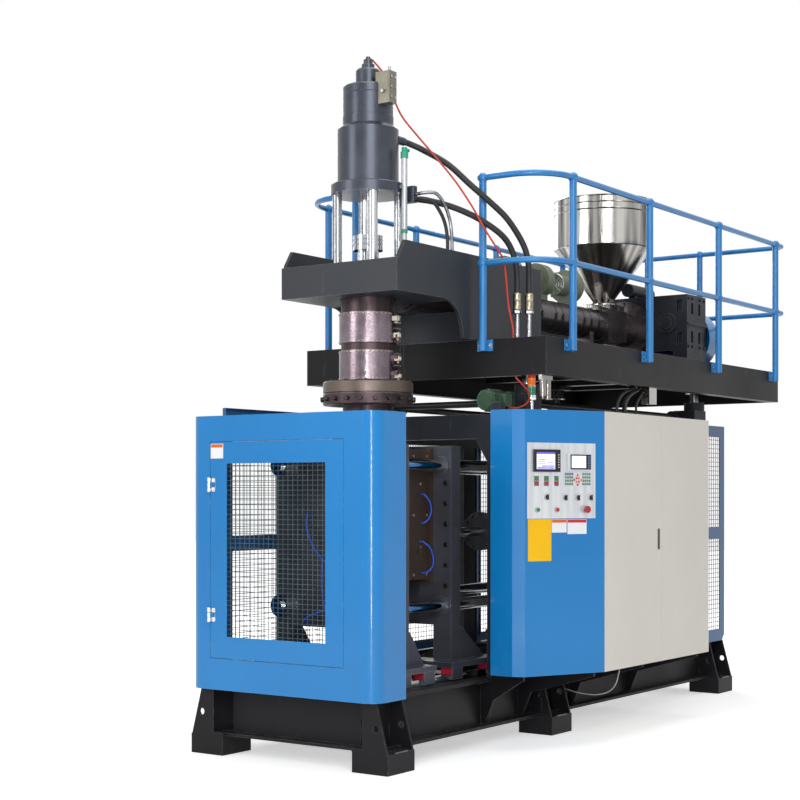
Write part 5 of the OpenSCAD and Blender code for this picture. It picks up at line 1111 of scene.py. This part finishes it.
# straps round the barrel and the blowers' grilles
barrelLook = {"straps": (-60, 150, 260, 400, 600, 700, 830, 1020, 1130, 1250), "z": 2820, "radius": 115,
              "grilles": (-96, 344, 774), "grilleZ": 3065, "grilleRings": (18, 40, 60, 78), "spokes": 8}
bm = bmesh.new()
r, z = barrelLook["radius"], barrelLook["z"]
for x in barrelLook["straps"]:
    addTurned(bm, [(r - 1, 0), (r + 1.5, 0.6), (r + 1.5, 15.4), (r - 1, 16)], (x, 0, z), (1, 0, 0), 40)
    addBox(bm, (x - 3, -r - 9, z - 24), (x + 19, -r + 3, z + 4))
    addRod(bm, (x + 8, -r - 5, z - 40), (x + 8, -r - 5, z + 16), 4, 10, 0, 1.0)
finishPiece(bm, "barrelStraps", "platform", ["boltBlack"], bevel=0.6)
bm = bmesh.new()
for x in barrelLook["grilles"]:
    for radius in barrelLook["grilleRings"]:
        addTurned(bm, [(radius - 2, 0), (radius, 3), (radius + 2, 0)], (x + 0.5, 0, barrelLook["grilleZ"]),
                  (-1, 0, 0), 36)
    for k in range(barrelLook["spokes"]):
        across = wayAt(k * 360 / barrelLook["spokes"])
        out = Vector((0, across.x, across.y))
        hub = Vector((x - 2, 0, barrelLook["grilleZ"]))
        addRod(bm, hub + out * 16, hub + out * 79, 1.6, 8)
finishPiece(bm, "blowerGrilles", "platform", ["chrome"])
print("platform and clamp details")

# weld beads where the feet meet the base
weldLook = {"feet": (-2182, -390, 2182), "half": 60, "y": 718, "z": 118, "radius": 4.5, "uneven": 0.9,
            "step": 9}
bm = bmesh.new()
rng = random.Random(11)
steps = int(2 * weldLook["half"] / weldLook["step"])
for x in weldLook["feet"]:
    for side in (-1, 1):
        start = Vector((x - weldLook["half"], side * weldLook["y"], weldLook["z"]))
        end = start + Vector((2 * weldLook["half"], 0, 0))
        route = [start.lerp(end, i / steps) / 1000 for i in range(steps + 1)]
        uneven = weldLook["uneven"]
        addTube(bm, route, [weldLook["radius"] + rng.uniform(-uneven, uneven) for _ in route])
finishPiece(bm, "footWelds", "base", ["weldBead"])

# plain pale floor, white to the camera, and a soft studio round it
stageLook = {"floor": 60, "cells": 24, "tones": "e6e6e6 eaeaea", "shadowKeep": 0.5, "clearFrom": (2.0, 9.0),
             "clear": 0.9, "sky": 0.35}
lampLooks = {
    "keyLamp": {"place": (-8.5, -7.5, 6.5), "aim": (0, 0, 1.8), "size": 5.0, "power": 530},
    "endLamp": {"place": (-9.0, 3.5, 4.5), "aim": (-1.5, 0, 1.6), "size": 3.0, "power": 170},
    "topLamp": {"place": (0.5, -1.0, 9.5), "aim": (0, 0, 1), "size": 6.0, "power": 300},
    "backLamp": {"place": (6.5, 6.5, 6.0), "aim": (0, 0, 2), "size": 4.0, "power": 300},
    "stripLamp": {"place": (-9.6, -5.0, 1.5), "aim": (-2.0, -0.5, 1.5), "size": 0.22, "tall": 2.8,
                  "power": 240},
}
for name, look in lampLooks.items():
    lampData = bpy.data.lights.new(name, "AREA")
    lampData.shape = "RECTANGLE"
    lampData.size = look["size"]
    lampData.size_y = look.get("tall", look["size"])
    lampData.energy = look["power"]
    lamp = bpy.data.objects.new(name, lampData)
    bpy.context.scene.collection.objects.link(lamp)
    lamp.location = look["place"]
    lamp.rotation_mode = "QUATERNION"
    lamp.rotation_quaternion = (Vector(look["aim"]) - Vector(look["place"])).to_track_quat("-Z", "Y")

world = bpy.data.worlds.new("studio")
world.use_nodes = True
tree = world.node_tree
rays = addNode(tree, "ShaderNodeLightPath").outputs
seen = calc(tree, "MAXIMUM", calc(tree, "MAXIMUM", rays["Is Camera Ray"], rays["Is Glossy Ray"]),
            rays["Is Transmission Ray"])
feed(tree, tree.nodes["Background"], {"Color": (1, 1, 1, 1),
                                      "Strength": ramp(tree, seen, 0.0, 1.0, stageLook["sky"], 1.0)})
bpy.context.scene.world = world

bm = bmesh.new()
half = stageLook["floor"] / 2
bmesh.ops.create_grid(bm, x_segments=stageLook["cells"], y_segments=stageLook["cells"], size=half,
                      matrix=Matrix.Translation((0, 0, -0.0005)))
floorMesh = bpy.data.meshes.new("studioFloor")
bm.to_mesh(floorMesh)
bm.free()
floor = bpy.data.objects.new("studioFloor", floorMesh)
bpy.context.scene.collection.objects.link(floor)
floorMaterial, tree, shader, (low, high) = startMaterial("floorPale", stageLook["tones"])
grain = placeGroup(tree, "paintFilm", {"Patch Scale": 0.4, "Peel Scale": 60.0})
rays = addNode(tree, "ShaderNodeLightPath").outputs
direct = calc(tree, "MAXIMUM", rays["Is Camera Ray"], rays["Is Glossy Ray"])
away = addNode(tree, "ShaderNodeVectorMath", {0: objectPlace(tree)}, operation="LENGTH").outputs["Value"]
fade = ramp(tree, away, *stageLook["clearFrom"], stageLook["shadowKeep"], stageLook["clear"])
feed(tree, shader, {"Base Color": mixTone(tree, grain["Tone"], low, high), "Roughness": 0.9,
                    "Specular IOR Level": 0.1, "Emission Color": (1, 1, 1, 1),
                    "Emission Strength": calc(tree, "MULTIPLY", direct, fade),
                    "Normal": bumped(tree, grain["Peel"], 0.0004)})
floorMesh.materials.append(floorMaterial)
bpy.context.scene.view_settings.view_transform = "Standard"
print("lights and floor")
